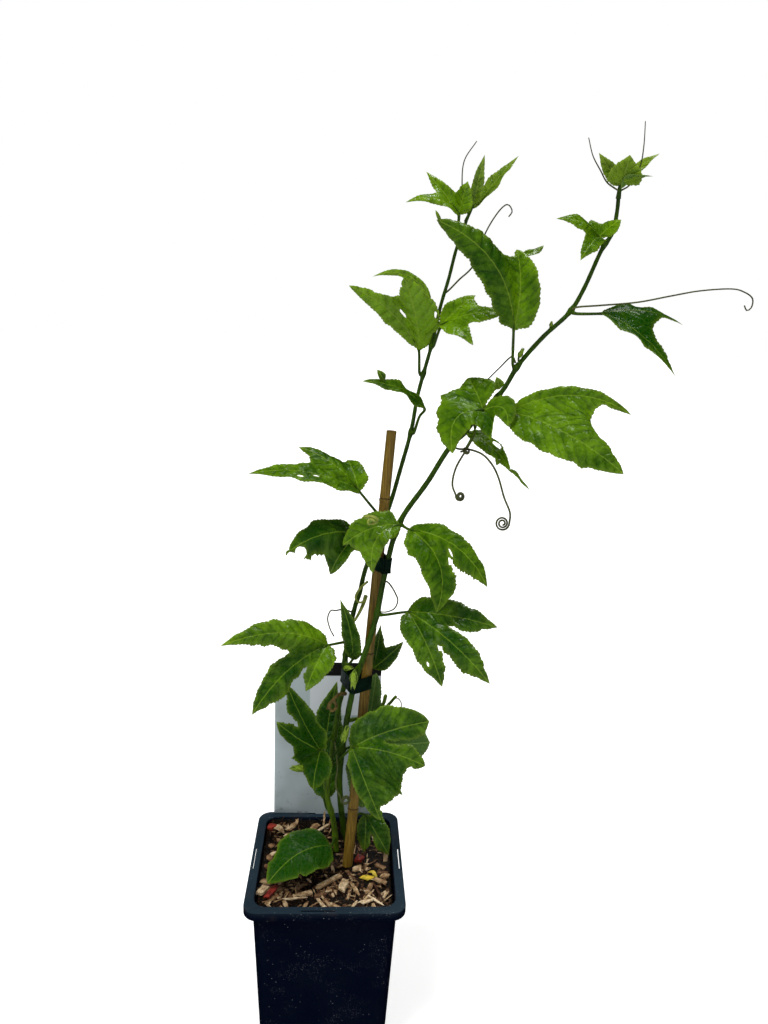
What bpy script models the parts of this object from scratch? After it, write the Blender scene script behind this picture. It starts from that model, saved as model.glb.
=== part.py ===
"""A passion fruit vine in a square nursery pot, tied to a bamboo cane.

Places and sizes are in millimetres until a mesh is made, and in metres after that.
X points right in the front view, Y away from the viewer and Z up. The origin is the
middle of the pot's base, on the surface that the pot stands on.
"""

import math
import random

import bmesh
import bpy
import numpy as np
from mathutils import Matrix, Vector
from mathutils.geometry import delaunay_2d_cdt

MM = 0.001
SEED = 21

# Pot
RIM_WIDTH = 125.0
RIM_HEIGHT = 145.0
RIM_SKIRT = 7.0
RIM_CORNER = 11.0
RIM_EASE = 0.9
RIM_DRAFT = 0.05
BODY_TOP_WIDTH = 113.0
BODY_BASE_WIDTH = 101.0
BASE_CORNER = 9.0
TOP_CORNER = 10.0
WALL = 1.6
SLOT_LENGTH = 22.0
SLOT_WIDTH = 3.2
SLOT_SHIFT = -5.0
CORNER_STEPS = 5

# Soil
SOIL_TOP = 136.0
SOIL_FIT = 0.4
SOIL_GRID = 11.0
SOIL_BUMP = 1.1
CHIP_COUNT = 56
CHIP_SIZE = ((7.0, 15.0), (3.0, 5.0), (2.2, 3.2))

# Cane
CANE_FOOT = (10.1, 1.9, 24.0)
CANE_TOP = (40.8, 5.0, 504.0)
CANE_RADIUS = 4.3
CANE_TOP_RADIUS = 3.7
CANE_JOINTS = (190.0, 328.0, 452.0)

# Ties
TIE_WALL = 0.9
TIE_WIDTH = 11.5
TIE_SIDES = 12
LOWER_TIE = 305.0
UPPER_TIE = 404.0

# Label
LABEL_WIDTH = 92.0
LABEL_HEIGHT = 148.0
LABEL_THICK = 0.9
LABEL_LEAN = 0.3
LABEL_TAB = (17.0, 26.0)
LABEL_CORNER = 3.0
LABEL_MIDDLE = -3.5

# Plant
BLADE_THICK = 0.8
PETIOLE_RADIUS = 1.15
TENDRIL_RADIUS = 0.55
TENDRIL_FOOT = 0.85
BUD_STALK = (0.9, 0.8)
FIT = 0.3
ROOT_DEPTH = 70.0
TOOTH_DEPTH = 1.5
TOOTH_SHARE = 0.1
TIP_EASE = 3.0
WEB_LIMIT = 0.72
BASE_REACH = 1.2
TOOTH_PITCH = 13.0
BLADE_GRID = 11.0
YOUNG_GRID = 8.0
WAVE_LENGTH = 24.0
WIDEST_RIPPLE = 1.3
SPINE_STEPS = 12
RIB_LENGTH = 9.0
RIB_SINK = 0.5
STEM_STEP = 10.0
PETIOLE_STEP = 5.0
TENDRIL_STEP = 6.0
COIL_STEPS = 10

# How wide a lobe is: shares of its length, each with its share of the half-width. The inner
# side lies between two lobes, and the outer one starts with a round or a wedge-shaped base.
INNER_SIDE = ((0.30, 0.93), (0.55, 0.95), (0.78, 0.62), (0.92, 0.24))
ROUND_BASE = ((0.03, 0.55), (0.20, 0.97), (0.42, 1.0))
WEDGE_BASE = ((0.05, 0.12), (0.24, 0.45), (0.48, 0.88))
OUTER_SIDE = ((0.62, 0.86), (0.80, 0.52), (0.92, 0.17))
# How close to the line between two lobes, or into the gap at the base, a side may come.
SIDE_LIMIT = 0.92

# The stems run through these points, from the soil to the tip.
LEFT_STEM = (
    (8, 21, 130), (5, 21, 163), (-1, 19, 192), (1, 16, 224), (4, 14, 252), (7, 13, 278),
    (11, 12, 298), (11, 13, 318), (14, 14, 343), (18, 14, 364), (21, 14, 374), (25, 14, 394),
    (34, 15, 422), (42, 15, 445), (49, 15, 473), (56, 15, 503), (60, 15, 531), (68, 14, 566),
    (73, 14, 593), (78, 14, 613), (82, 14, 632), (86, 13, 645), (88, 12, 652),
)
RIGHT_STEM = (
    (19, 27, 130), (13, 25, 159), (9, 16, 208), (12, 4, 257), (18, -5, 303), (23, -7, 323),
    (28, -7, 340), (34, -7, 364), (38, -6, 390), (42, -5, 412), (45, -4, 425), (52, -3, 443),
    (68, -4, 468), (83, -6, 495), (100, -7, 515), (118, -6, 536), (129, -4, 555), (146, 0, 575),
    (164, 4, 592), (174, 7, 609), (185, 10, 636), (192, 11, 648), (194, 12, 662), (194, 12, 672),
)
STEM_RADII = {"left": (2.9, 1.3), "right": (3.1, 1.6)}


class Lobe:
    """One lobe of a blade: where it ends, how its midrib bows, and how wide it is."""

    def __init__(self, tip, half_width, bow=6.0, side=0.0, twist=0.0):
        self.tip = tip
        self.half_width = half_width
        self.bow = bow
        self.side = side
        self.twist = twist


class Leaf:
    """A leaf: the stem it grows from, its petiole's way, its junction and its lobes.

    seat is the height of the petiole's foot on the stem, and via the points between. up is the
    side that faces the light. web tells how far out two neighbouring lobes stay joined, cup how
    much the margins rise, wave how much they ripple, and wedge how narrow the base is. A spur is
    a small extra lobe: the lobe it grows from, where on it, its tip and its half-width.
    """

    def __init__(self, stem, seat, junction, up, lobes, web=(), cup=0.0, wave=1.5, via=(), spur=None,
                 wedge=0.0):
        self.stem = stem
        self.seat = seat
        self.junction = junction
        self.up = up
        self.lobes = lobes
        self.web = web
        self.cup = cup
        self.wave = wave
        self.via = via
        self.spur = spur
        self.wedge = wedge


LEAVES = {
    "leaf_soil_left": Leaf("left", 150, (3, 5, 153), (-0.1, -0.45, 0.9),
                           [Lobe((-46, -33, 147), 21, 9)], cup=-0.05),
    "leaf_soil_right": Leaf("right", 152, (32, 16, 174), (0.1, -0.9, 0.4),
                            [Lobe((31, 7, 145), 8, 4), Lobe((52, 4, 145), 12, 4)],
                            web=(0.42,), via=((20, 20, 168), (27, 17, 175))),
    "leaf_bright_low": Leaf("left", 226, (18, -12, 255), (0.0, -0.95, 0.35),
                            [Lobe((77, -22, 284), 20, 6, 6), Lobe((72, -34, 253), 18, 8, 5),
                             Lobe((42, -28, 201), 10, 6)], web=(0.5, 0.8), wedge=0.3),
    "leaf_behind_low": Leaf("right", 240, (30, 26, 238), (0.1, -0.9, 0.3),
                            [Lobe((37, 26, 301), 10, 3), Lobe((83, 14, 245), 22, 8),
                             Lobe((29, 20, 179), 16, 5)], web=(0.5, 0.5)),
    "leaf_dark_low": Leaf("left", 250, (-7, 2, 244), (-0.35, -0.9, 0.25),
                          [Lobe((-34, -6, 306), 10, 3), Lobe((-41, -14, 278), 10, 3),
                           Lobe((-12, -8, 215), 12, 3)], web=(0.45, 0.5)),
    "leaf_upright_low": Leaf("left", 176, (-4, 24, 185), (-0.25, -0.95, 0.1),
                             [Lobe((5, 28, 292), 12, -5, 5)]),
    "leaf_left_mid": Leaf("left", 334, (-3, -4, 338), (-0.15, -0.75, 0.65),
                          [Lobe((-79, -38, 351), 12, 13, -5), Lobe((-56, -44, 300), 18, 10, -3),
                           Lobe((-18, -26, 310), 13, 5)], web=(0.42, 0.42)),
    "leaf_narrow_mid": Leaf("left", 316, (17, 2, 324), (-0.3, -0.9, 0.0),
                            [Lobe((6, -8, 377), 8, 3, -4)], cup=0.1),
    "leaf_behind_stake": Leaf("left", 323, (34, 16, 310), (0.2, -0.9, 0.2),
                              [Lobe((39, 20, 346), 6, 2), Lobe((57, 10, 336), 8, 2)], web=(0.6,),
                              via=((22, 19, 322), (30, 18, 314))),
    "leaf_right_mid": Leaf("right", 366, (58, -10, 369), (0.1, -0.8, 0.6),
                           [Lobe((124, -24, 363), 14, 8), Lobe((117, -44, 327), 15, 12),
                            Lobe((83, -38, 321), 14, 8)], web=(0.48, 0.44)),
    "leaf_right_droop": Leaf("right", 436, (56, -12, 434), (0.25, -0.75, 0.65),
                             [Lobe((112, -34, 398), 11, 14, 3), Lobe((76, -36, 379), 17, 14, 7)], web=(0.5,)),
    "leaf_over_tie": Leaf("right", 429, (48, -11, 437), (-0.1, -0.8, 0.6),
                          [Lobe((29, -32, 406), 9, 8, -4), Lobe((7, -24, 424), 15, 5)], web=(0.6,)),
    "leaf_left_dark": Leaf("left", 416, (18, 0, 426), (-0.1, -0.6, 0.8),
                           [Lobe((-32, -22, 418), 15, 10), Lobe((-2, -12, 398), 8, 5)], web=(0.72,)),
    "leaf_left_high": Leaf("left", 436, (18, 0, 460), (-0.1, -0.45, 0.9),
                           [Lobe((-60, -24, 475), 13, 9), Lobe((-27, 4, 490), 13, 7),
                            Lobe((9, 30, 477), 10, 5)], web=(0.5, 0.45)),
    "leaf_right_large": Leaf("right", 532, (123, -14, 523), (0.1, -0.85, 0.5),
                             [Lobe((207, -24, 524), 13, 13), Lobe((196, -52, 487), 18, 12, -4)], web=(0.55,),
                             wedge=0.3),
    "leaf_centre_fold": Leaf("right", 508, (104, -16, 523), (-0.2, -0.8, 0.6),
                             [Lobe((81, -36, 495), 11, 9, -15), Lobe((95, 6, 544), 17, 4),
                              Lobe((119, -30, 514), 7, 4, 8)], web=(0.6, 0.6)),
    "leaf_centre_hang": Leaf("right", 502, (97, 2, 505), (0.4, -0.7, 0.5),
                             [Lobe((142, -14, 466), 10, 6)]),
    "leaf_side_on": Leaf("left", 522, (62, 8, 527), (-0.25, -0.35, 0.9),
                         [Lobe((17, -16, 541), 7, 8)]),
    "leaf_left_fork": Leaf("left", 545, (60, 24, 562), (-0.2, -0.9, 0.2),
                           [Lobe((7, 4, 606), 9, 2, -4), Lobe((44, 15, 620), 14, 2, -6)],
                           web=(0.72,), wedge=0.8, spur=(1, 0.80, 0.3, (25, -6, 612), 3.5)),
    "leaf_fork_right": Leaf("left", 566, (73, 6, 580), (0.1, -0.7, 0.7),
                            [Lobe((117, -6, 592), 11, 6), Lobe((93, -22, 567), 9, 6),
                             Lobe((92, 20, 605), 8, 3)],
                            web=(0.5, 0.6), wedge=0.5),
    "leaf_top_twist": Leaf("right", 553, (122, -12, 580), (-0.3, -0.9, 0.3),
                           [Lobe((63, -26, 651), 16, 6, -17)], spur=(0, 0.54, -0.6, (143, 2, 637), 3.5)),
    "leaf_right_tendril": Leaf("right", 594, (187, -2, 593), (0.2, -0.4, 0.9),
                               [Lobe((250, 10, 587), 9, 6), Lobe((234, -26, 552), 12, 6)], web=(0.55,)),
    "leaf_top_small": Leaf("right", 640, (180, 2, 644), (-0.1, -0.7, 0.7),
                           [Lobe((146, -10, 653), 8, 5), Lobe((162, -20, 626), 8, 4),
                            Lobe((195, 4, 656), 8, 2)],
                           web=(0.5, 0.5)),
    "crown_left_leaf": Leaf("left", 646, (82, 9, 656), (-0.2, -0.8, 0.5),
                            [Lobe((44, -4, 660), 5, 6, -3), Lobe((59, 20, 684), 6, 2),
                             Lobe((86, 2, 676), 9, 1)],
                            web=(0.5, 0.5)),
}

# Each bunch of young leaves: its foot on the stem, its neck, its blades and its tendrils.
BUNCHES = {
    "crown_right": {
        "foot": (194, 12, 672.3), "neck": (194, 11, 680), "radius": 1.9,
        "blades": [Leaf(None, 0, (193, 11, 680), (-0.4, -0.9, 0.0), [Lobe((176, 8, 699), 5, 2)], cup=0.5),
                   Leaf(None, 0, (193, 9, 680), (0.0, -1.0, 0.1), [Lobe((195, 0, 697), 12, 3)], cup=0.3),
                   Leaf(None, 0, (195, 12, 680), (-0.5, -0.7, 0.5), [Lobe((221, 16, 702), 4.5, 2)], cup=0.4),
                   Leaf(None, 0, (195, 10, 678), (0.3, -0.3, 0.9), [Lobe((210, -6, 683), 6, 3)], cup=0.2)],
        "tendrils": [((193, 11, 676), (185, 12, 681), (179, 10, 688), (172, 8, 697), (168, 8, 708)),
                     ((195, 11, 676), (202, 13, 681), (206, 9, 692), (206, 6, 704), (206, 8, 721))],
    },
    "crown_left_pair": {
        "foot": (88, 12, 652.6), "neck": (92, 12, 662), "radius": 1.3,
        "blades": [Leaf(None, 0, (92, 12, 661), (-0.3, -0.95, 0.0), [Lobe((97, 6, 694), 4.5, 1)], cup=0.3),
                   Leaf(None, 0, (93, 12, 661), (-0.6, -0.7, 0.4), [Lobe((123, 20, 697), 6, 1)], cup=0.3)],
        "tendrils": [((89, 12, 656), (86, 14, 664), (84, 16, 677), (85, 18, 692), (93, 20, 705))],
    },
}

# Tendrils and thin stalks that grow from the stems, from their root in the stem to their tip.
LEFT_TENDRILS = (
    ((75, 14, 602), (80, 20, 606), (87, 26, 613), (97, 30, 623), (102, 34, 638), (108, 34, 652),
     (115, 34, 663), (120, 34, 667), (123, 34, 665), (124, 34, 662), (122, 34, 659)),
    ((17, 14, 358), (9, 10, 362), (3, 0, 365), (-1, -6, 367), (-3, -12, 363), (-1, -17, 357), (2, -19, 352)),
)
RIGHT_TENDRILS = (
    ((164, 4, 592), (168, 2, 596), (185, 0, 598), (210, -4, 601), (232, -8, 606), (251, -10, 610),
     (272, -12, 612), (282, -12, 610), (288, -12, 606), (288, -12, 600), (285, -12, 598), (283, -12, 601)),
    ((38, -6, 391), (41, -12, 393), (44, -17, 391), (47, -18, 386), (49, -16, 380), (47, -12, 372),
     (41, -9, 368), (36, -6, 367)),
    ((129, -4, 555), (126, 0, 561), (118, 3, 554), (112, 10, 544)),
)
# Each coiled tendril: its way in, then the middle, first radius, last radius, turns and axis of its coil.
COILS = {
    "left": (
        {"way": ((4, 14, 247), (5, 8, 243), (7, -4, 233), (6, -12, 222)), "centre": (14, -17, 212),
         "radii": (3.8, 1.6), "turns": 2.0, "start": 165.0, "axis": (0.1, -1.0, 0.2)},
    ),
    "right": (
        {"way": ((99, -7, 514), (99, -13, 506), (93, -20, 496), (86, -22, 483), (84, -22, 471)),
         "centre": (90, -22, 462), "radii": (4.2, 1.5), "turns": 1.9, "start": 170.0,
         "axis": (0.0, -1.0, 0.2)},
        {"way": ((84, -6, 496), (88, -14, 495), (95, -22, 496), (104, -24, 493), (111, -26, 486),
                 (116, -26, 477), (121, -26, 463), (126, -26, 452)),
         "centre": (121, -26, 444), "radii": (5.6, 1.8), "turns": -2.1, "start": 0.0,
         "axis": (0.0, -1.0, 0.2)},
    ),
}
# Buds and stipules: foot on the stem, middle of the bud, its tip and its half-width.
BUDS = {
    "left": (((-1, 19, 205), (-24, 1, 225), (-32, -2, 229), 3.2),),
    "right": (((21, -6, 318), (18, -13, 312), (17, -13, 302), 2.8),
              ((14, 0, 270), (10, -7, 264), (11, -8, 272), 2.6),
              ((150, 0, 580), (151, 0, 584), (151, -1, 586), 1.8)),
}
BLACKENED_STALK = ((16, -1, 279), (18, 9, 276), (22, 15, 273), (30, 15, 272), (41, 11, 275), (49, 8, 286),
                   (53, 6, 290), (56, 4, 288), (57, 2, 281))

COLOURS = {
    "pot_plastic": ((0.020, 0.026, 0.040), 0.45),
    "potting_mix": ((0.070, 0.040, 0.024), 0.95),
    "bamboo": ((0.330, 0.190, 0.085), 0.55),
    "tie_tape": ((0.012, 0.045, 0.030), 0.40),
    "label_card": ((0.620, 0.640, 0.680), 0.50),
    "stem_green": ((0.035, 0.085, 0.015), 0.40),
    "leaf_green": ((0.055, 0.160, 0.015), 0.32),
    "young_leaf": ((0.110, 0.250, 0.020), 0.35),
}


def new_collection(name):
    """A collection in the scene."""
    collection = bpy.data.collections.new(name)
    bpy.context.scene.collection.children.link(collection)
    return collection


def new_material(name):
    """A plain Principled material from the table of colours."""
    colour, roughness = COLOURS[name]
    material = bpy.data.materials.new(name)
    material.use_nodes = True
    shader = material.node_tree.nodes["Principled BSDF"]
    shader.inputs["Base Color"].default_value = (*colour, 1.0)
    shader.inputs["Roughness"].default_value = roughness
    material.diffuse_color = (*colour, 1.0)
    return material


def mesh_object(name, verts, faces, collection):
    """An object from points in millimetres and their faces."""
    mesh = bpy.data.meshes.new(name)
    mesh.from_pydata([Vector(v) * MM for v in verts], [], faces)
    obj = bpy.data.objects.new(name, mesh)
    collection.objects.link(obj)
    return obj


def finish(obj, material, smooth=True):
    """Give a finished piece its material and its shading."""
    obj.data.materials.clear()
    obj.data.materials.append(material)
    if smooth:
        obj.data.shade_smooth()
        obj.data.set_sharp_from_angle(angle=math.radians(40))
    return obj


def as_mesh(obj):
    """Replace an object by its evaluated mesh, with its loose caps welded."""
    bpy.context.view_layer.update()
    graph = bpy.context.evaluated_depsgraph_get()
    mesh = bpy.data.meshes.new_from_object(obj.evaluated_get(graph), depsgraph=graph)
    work = bmesh.new()
    work.from_mesh(mesh)
    bmesh.ops.remove_doubles(work, verts=work.verts, dist=1e-6)
    bmesh.ops.recalc_face_normals(work, faces=work.faces)
    work.to_mesh(mesh)
    work.free()
    fresh = bpy.data.objects.new(obj.name, mesh)
    fresh.matrix_world = obj.matrix_world
    obj.users_collection[0].objects.link(fresh)
    name = obj.name
    bpy.data.objects.remove(obj)
    fresh.name = name
    return fresh


def boolean(obj, others, operation):
    """Join or cut a piece with all the other ones at once, then drop them."""
    group = bpy.data.collections.new("operands")
    bpy.context.scene.collection.children.link(group)
    for other in others:
        for owner in list(other.users_collection):
            owner.objects.unlink(other)
        group.objects.link(other)
    step = obj.modifiers.new(operation.lower(), "BOOLEAN")
    step.operation = operation
    step.operand_type = "COLLECTION"
    step.collection = group
    step.solver = "EXACT"
    fresh = as_mesh(obj)
    for other in others:
        bpy.data.objects.remove(other)
    bpy.data.collections.remove(group)
    return fresh


def smooth_path(points, step):
    """Points about every step along a smooth curve through the given ones."""
    pts = [Vector(p) for p in points]
    ends = [2 * pts[0] - pts[1]] + pts + [2 * pts[-1] - pts[-2]]
    path = []
    for a, b, c, d in zip(ends, ends[1:], ends[2:], ends[3:]):
        count = max(1, round((c - b).length / step))
        for i in range(count):
            t = i / count
            path.append(0.5 * (2 * b + (c - a) * t + (2 * a - 5 * b + 4 * c - d) * t ** 2
                               + (3 * b - a - 3 * c + d) * t ** 3))
    path.append(pts[-1])
    return path


def tube(name, path, radii, collection, resolution=1):
    """A solid rod along a path. Radii are its first and last, or one for each point."""
    curve = bpy.data.curves.new(name, "CURVE")
    curve.dimensions = "3D"
    curve.bevel_depth = MM
    curve.bevel_resolution = resolution
    curve.use_fill_caps = True
    spline = curve.splines.new("POLY")
    spline.points.add(len(path) - 1)
    last = len(path) - 1
    for i, point in enumerate(path):
        spline.points[i].co = (*(Vector(point) * MM), 1.0)
        if len(radii) == 2:
            spline.points[i].radius = radii[0] + (radii[1] - radii[0]) * i / last
        else:
            spline.points[i].radius = radii[i]
    obj = bpy.data.objects.new(name, curve)
    collection.objects.link(obj)
    return as_mesh(obj)


def rounded_square(half, corner, z, steps=CORNER_STEPS):
    """A ring of points on a square with round corners, anticlockwise from above."""
    ring = []
    for quarter in range(4):
        turn = math.radians(90 * quarter)
        middle = half - corner
        centre = Vector((middle, middle, 0.0))
        for i in range(steps + 1):
            angle = math.radians(90) * i / steps
            local = centre + corner * Vector((math.cos(angle), math.sin(angle), 0.0))
            ring.append((local.x * math.cos(turn) - local.y * math.sin(turn),
                         local.x * math.sin(turn) + local.y * math.cos(turn), z))
    return ring


def bands(rings):
    """Points and quads of a skin over rings that have equal counts."""
    count = len(rings[0])
    verts = [p for ring in rings for p in ring]
    faces = []
    for level in range(len(rings) - 1):
        low, high = level * count, (level + 1) * count
        for i in range(count):
            j = (i + 1) % count
            faces.append((low + i, low + j, high + j, high + i))
    return verts, faces


def box(name, size, centre, collection):
    """A box of a size in millimetres about a centre."""
    bpy.ops.mesh.primitive_cube_add(size=1)
    obj = bpy.context.object
    obj.name = name
    for owner in list(obj.users_collection):
        owner.objects.unlink(obj)
    collection.objects.link(obj)
    for vert in obj.data.vertices:
        vert.co = Vector((vert.co.x * size[0], vert.co.y * size[1], vert.co.z * size[2])) * MM
    obj.location = Vector(centre) * MM
    return obj


def inner_half(z):
    """Half the width of the pot's hollow at a height."""
    share = (z - WALL) / (RIM_HEIGHT - WALL)
    return (BODY_BASE_WIDTH + (BODY_TOP_WIDTH - BODY_BASE_WIDTH) * share) / 2 - WALL


def slot_middle():
    """How far the middle of a rim slot lies from the pot's axis."""
    return RIM_WIDTH / 2 - WALL - FIT - SLOT_WIDTH / 2


def make_pot(parts, cutters):
    """The square pot: one skin from the base up the wall, over the rim and down the skirt."""
    floor, brim = inner_half(WALL), inner_half(RIM_HEIGHT)
    outer = RIM_WIDTH / 2
    rings = [rounded_square(floor, BASE_CORNER, WALL),
             rounded_square(brim - RIM_DRAFT, TOP_CORNER, RIM_HEIGHT - RIM_EASE),
             rounded_square(brim + RIM_EASE, TOP_CORNER, RIM_HEIGHT),
             rounded_square(outer - RIM_EASE, RIM_CORNER, RIM_HEIGHT),
             rounded_square(outer, RIM_CORNER, RIM_HEIGHT - RIM_EASE),
             rounded_square(outer, RIM_CORNER, RIM_HEIGHT - RIM_SKIRT)]
    verts, faces = bands(rings)
    faces = [tuple(reversed(face)) for face in faces]
    faces.append(tuple(range(len(rings[0]))))
    pot = mesh_object("pot", verts, faces, parts)
    wall = pot.modifiers.new("wall", "SOLIDIFY")
    wall.thickness = WALL * MM
    wall.offset = -1.0
    wall.use_even_offset = True
    pot = as_mesh(pot)
    for vert in pot.data.vertices:
        if vert.co.z < WALL / 2 * MM:
            vert.co.z = 0.0
    slots = []
    for side, along in enumerate((SLOT_SHIFT, 0.0, -SLOT_SHIFT, 0.0)):
        turn = math.radians(90 * side)
        middle = Matrix.Rotation(turn, 4, "Z") @ Vector((along, -slot_middle(), RIM_HEIGHT))
        slot = box("slot", (SLOT_LENGTH, SLOT_WIDTH, 4 * WALL), middle, cutters)
        slot.rotation_euler.z = turn
        slots.append(slot)
    return boolean(pot, slots, "DIFFERENCE")


def inside(point, outline, margin):
    """Whether a flat point lies in an outline and clear of its edge."""
    ends = np.roll(outline, -1, axis=0)
    x, y = point
    crosses = (outline[:, 1] > y) != (ends[:, 1] > y)
    rise = np.where(ends[:, 1] == outline[:, 1], 1.0, ends[:, 1] - outline[:, 1])
    at = outline[:, 0] + (y - outline[:, 1]) / rise * (ends[:, 0] - outline[:, 0])
    if np.count_nonzero(crosses & (x < at)) % 2 == 0:
        return False
    edge = ends - outline
    reach = np.clip(((point - outline) * edge).sum(axis=1) / (edge ** 2).sum(axis=1), 0, 1)
    away = point - (outline + edge * reach[:, None])
    return np.sqrt((away ** 2).sum(axis=1)).min() > margin


def filled(outline, spacing, extra=()):
    """Triangles that fill a flat outline, over its points, the extra ones and an even grid."""
    outline = np.array(outline, dtype=float)
    kept = [p for p in extra if inside(np.array(p), outline, 0.25 * spacing)]
    low, high = outline.min(axis=0), outline.max(axis=0)
    row_height = spacing * math.sqrt(3) / 2
    for row in range(int((high[1] - low[1]) / row_height) + 1):
        for column in range(int((high[0] - low[0]) / spacing) + 2):
            shift = column + 0.5 * (row % 2)
            point = np.array((low[0] + shift * spacing, low[1] + (row + 0.5) * row_height))
            near = any((point[0] - p[0]) ** 2 + (point[1] - p[1]) ** 2 < (0.6 * spacing) ** 2 for p in kept)
            if not near and inside(point, outline, 0.4 * spacing):
                kept.append(tuple(point))
    flat = [Vector(p) for p in outline.tolist()] + [Vector(p) for p in kept]
    loop = [(i, (i + 1) % len(outline)) for i in range(len(outline))]
    points, _, faces, _, _, _ = delaunay_2d_cdt(flat, loop, [], 1, 1e-6)
    return points, faces


def soil_height(x, y):
    """The height of the potting mix at a place, in shallow mounds."""
    mounds = math.sin(0.21 * x + 0.9) * math.cos(0.17 * y) + 0.5 * math.sin(0.31 * (x + y))
    return SOIL_TOP + SOIL_BUMP * mounds


def make_soil(parts, cutters):
    """The potting mix: a block that fills the pot, with wood chips sunk into its top."""
    foot = WALL + SOIL_FIT
    low = rounded_square(inner_half(foot) - SOIL_FIT, BASE_CORNER - SOIL_FIT, foot)
    high = rounded_square(inner_half(SOIL_TOP) - SOIL_FIT, TOP_CORNER - SOIL_FIT, SOIL_TOP)
    count = len(high)
    points, faces = filled([(p[0], p[1]) for p in high], SOIL_GRID)
    top = []
    for i, p in enumerate(points):
        top.append((p.x, p.y, SOIL_TOP if i < count else soil_height(p.x, p.y)))
    verts = top + low
    start = len(top)
    sides = [(start + i, start + (i + 1) % count, (i + 1) % count, i) for i in range(count)]
    base = [tuple(start + i for i in reversed(range(count)))]
    soil = mesh_object("soil", verts, list(faces) + sides + base, parts)
    return boolean(as_mesh(soil), make_chips(cutters), "UNION")


def make_chips(cutters):
    """Wood chips strewn over the potting mix, each sunk to half its depth."""
    rng = random.Random(SEED)
    chips = []
    reach = inner_half(SOIL_TOP)
    while len(chips) < CHIP_COUNT:
        size = [rng.uniform(*span) for span in CHIP_SIZE]
        limit = reach - size[0] / 2 - 2.0
        x, y = rng.uniform(-limit, limit), rng.uniform(-limit, limit)
        yaw, tilt = rng.uniform(0, math.pi), rng.uniform(-0.25, 0.25)
        chip = box("chip", size, (x, y, soil_height(x, y) + 0.1 * size[2]), cutters)
        chip.rotation_euler = (tilt, tilt / 2, yaw)
        chips.append(chip)
    return chips


def stem_path(points):
    """A stem's middle line, with its root end straight down in the soil."""
    root = (points[0][0], points[0][1], SOIL_TOP - ROOT_DEPTH)
    upper = smooth_path(points, STEM_STEP)
    return [Vector(root)] + upper


def stem_radius(side, path, i):
    """The radius of a stem at a point of its path, thinner towards the tip."""
    first, last = STEM_RADII[side]
    return first + (last - first) * i / (len(path) - 1)


def coil_path(coil):
    """A tendril's way in, then the shrinking turns of its coil."""
    axis = Vector(coil["axis"]).normalized()
    across = Vector((1.0, 0.0, 0.0))
    across = (across - axis * across.dot(axis)).normalized()
    upward = across.cross(axis) * -1.0
    way = list(coil["way"])
    steps = int(COIL_STEPS * abs(coil["turns"]))
    turns = []
    for i in range(steps + 1):
        share = i / steps
        angle = math.radians(coil["start"] + 360.0 * coil["turns"] * share)
        radius = coil["radii"][0] + (coil["radii"][1] - coil["radii"][0]) * share
        middle = Vector(coil["centre"]) + axis * (1.5 * share)
        turns.append(middle + radius * (across * math.cos(angle) + upward * math.sin(angle)))
    return smooth_path(way + [turns[0]], TENDRIL_STEP) + turns[1:]


def make_tendril(path, collection):
    """A thread along a path, a little thicker at its root."""
    return tube("tendril", path, (TENDRIL_FOOT, TENDRIL_RADIUS), collection, 0)


def make_bud(foot, middle, tip, half_width, collection):
    """A bud or stipule on its short stalk."""
    stalk = tube("stalk", smooth_path((foot, middle), PETIOLE_STEP), BUD_STALK, collection)
    middle, tip = Vector(middle), Vector(tip)
    length = (tip - middle).length + half_width
    bpy.ops.mesh.primitive_ico_sphere_add(subdivisions=1, radius=1.0)
    bud = bpy.context.object
    for owner in list(bud.users_collection):
        owner.objects.unlink(bud)
    collection.objects.link(bud)
    for vert in bud.data.vertices:
        vert.co = Vector((vert.co.x * half_width, vert.co.y * half_width * 0.7, vert.co.z * length)) * MM
    bud.rotation_mode = "QUATERNION"
    bud.rotation_quaternion = (tip - middle).to_track_quat("Z", "Y")
    bud.location = middle * MM
    return [stalk, bud]


def make_stem(side, points, tendrils, parts, cutters):
    """A stem with the tendrils and buds that grow from it."""
    path = stem_path(points)
    radii = [stem_radius(side, path, i) for i in range(len(path))]
    stem = tube("main_stem_" + side, path, radii, parts, 2)
    growths = [make_tendril(smooth_path(way, TENDRIL_STEP), cutters) for way in tendrils]
    growths += [make_tendril(coil_path(coil), cutters) for coil in COILS[side]]
    for foot, middle, tip, half_width in BUDS[side]:
        growths += make_bud(foot, middle, tip, half_width, cutters)
    return boolean(stem, growths, "UNION")


def make_cane(parts):
    """The bamboo cane, swollen a little at its joints."""
    foot, top = Vector(CANE_FOOT), Vector(CANE_TOP)
    marks = [(foot.z, 0.0), (top.z, 0.0)]
    for height in CANE_JOINTS:
        marks += [(height - 3.0, 0.0), (height - 0.8, 0.5), (height + 0.8, 0.2), (height + 2.0, 0.0)]
    marks.sort()
    path, radii = [], []
    for height, swell in marks:
        share = (height - foot.z) / (top.z - foot.z)
        path.append(foot.lerp(top, share))
        radii.append(CANE_RADIUS + (CANE_TOP_RADIUS - CANE_RADIUS) * share + swell)
    return tube("bamboo_cane", path, radii, parts, 4)


def cane_point(z):
    """The middle of the cane at a height."""
    foot, top = Vector(CANE_FOOT), Vector(CANE_TOP)
    return foot.lerp(top, (z - foot.z) / (top.z - foot.z))


def point_at_height(path, z):
    """The place on an upward path at a height, with the direction there and its share of the path."""
    for i in range(len(path) - 1):
        if path[i].z <= z <= path[i + 1].z:
            share = (z - path[i].z) / (path[i + 1].z - path[i].z)
            return path[i].lerp(path[i + 1], share), (path[i + 1] - path[i]).normalized(), i + share
    raise ValueError(f"no point at height {z}")


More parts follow.
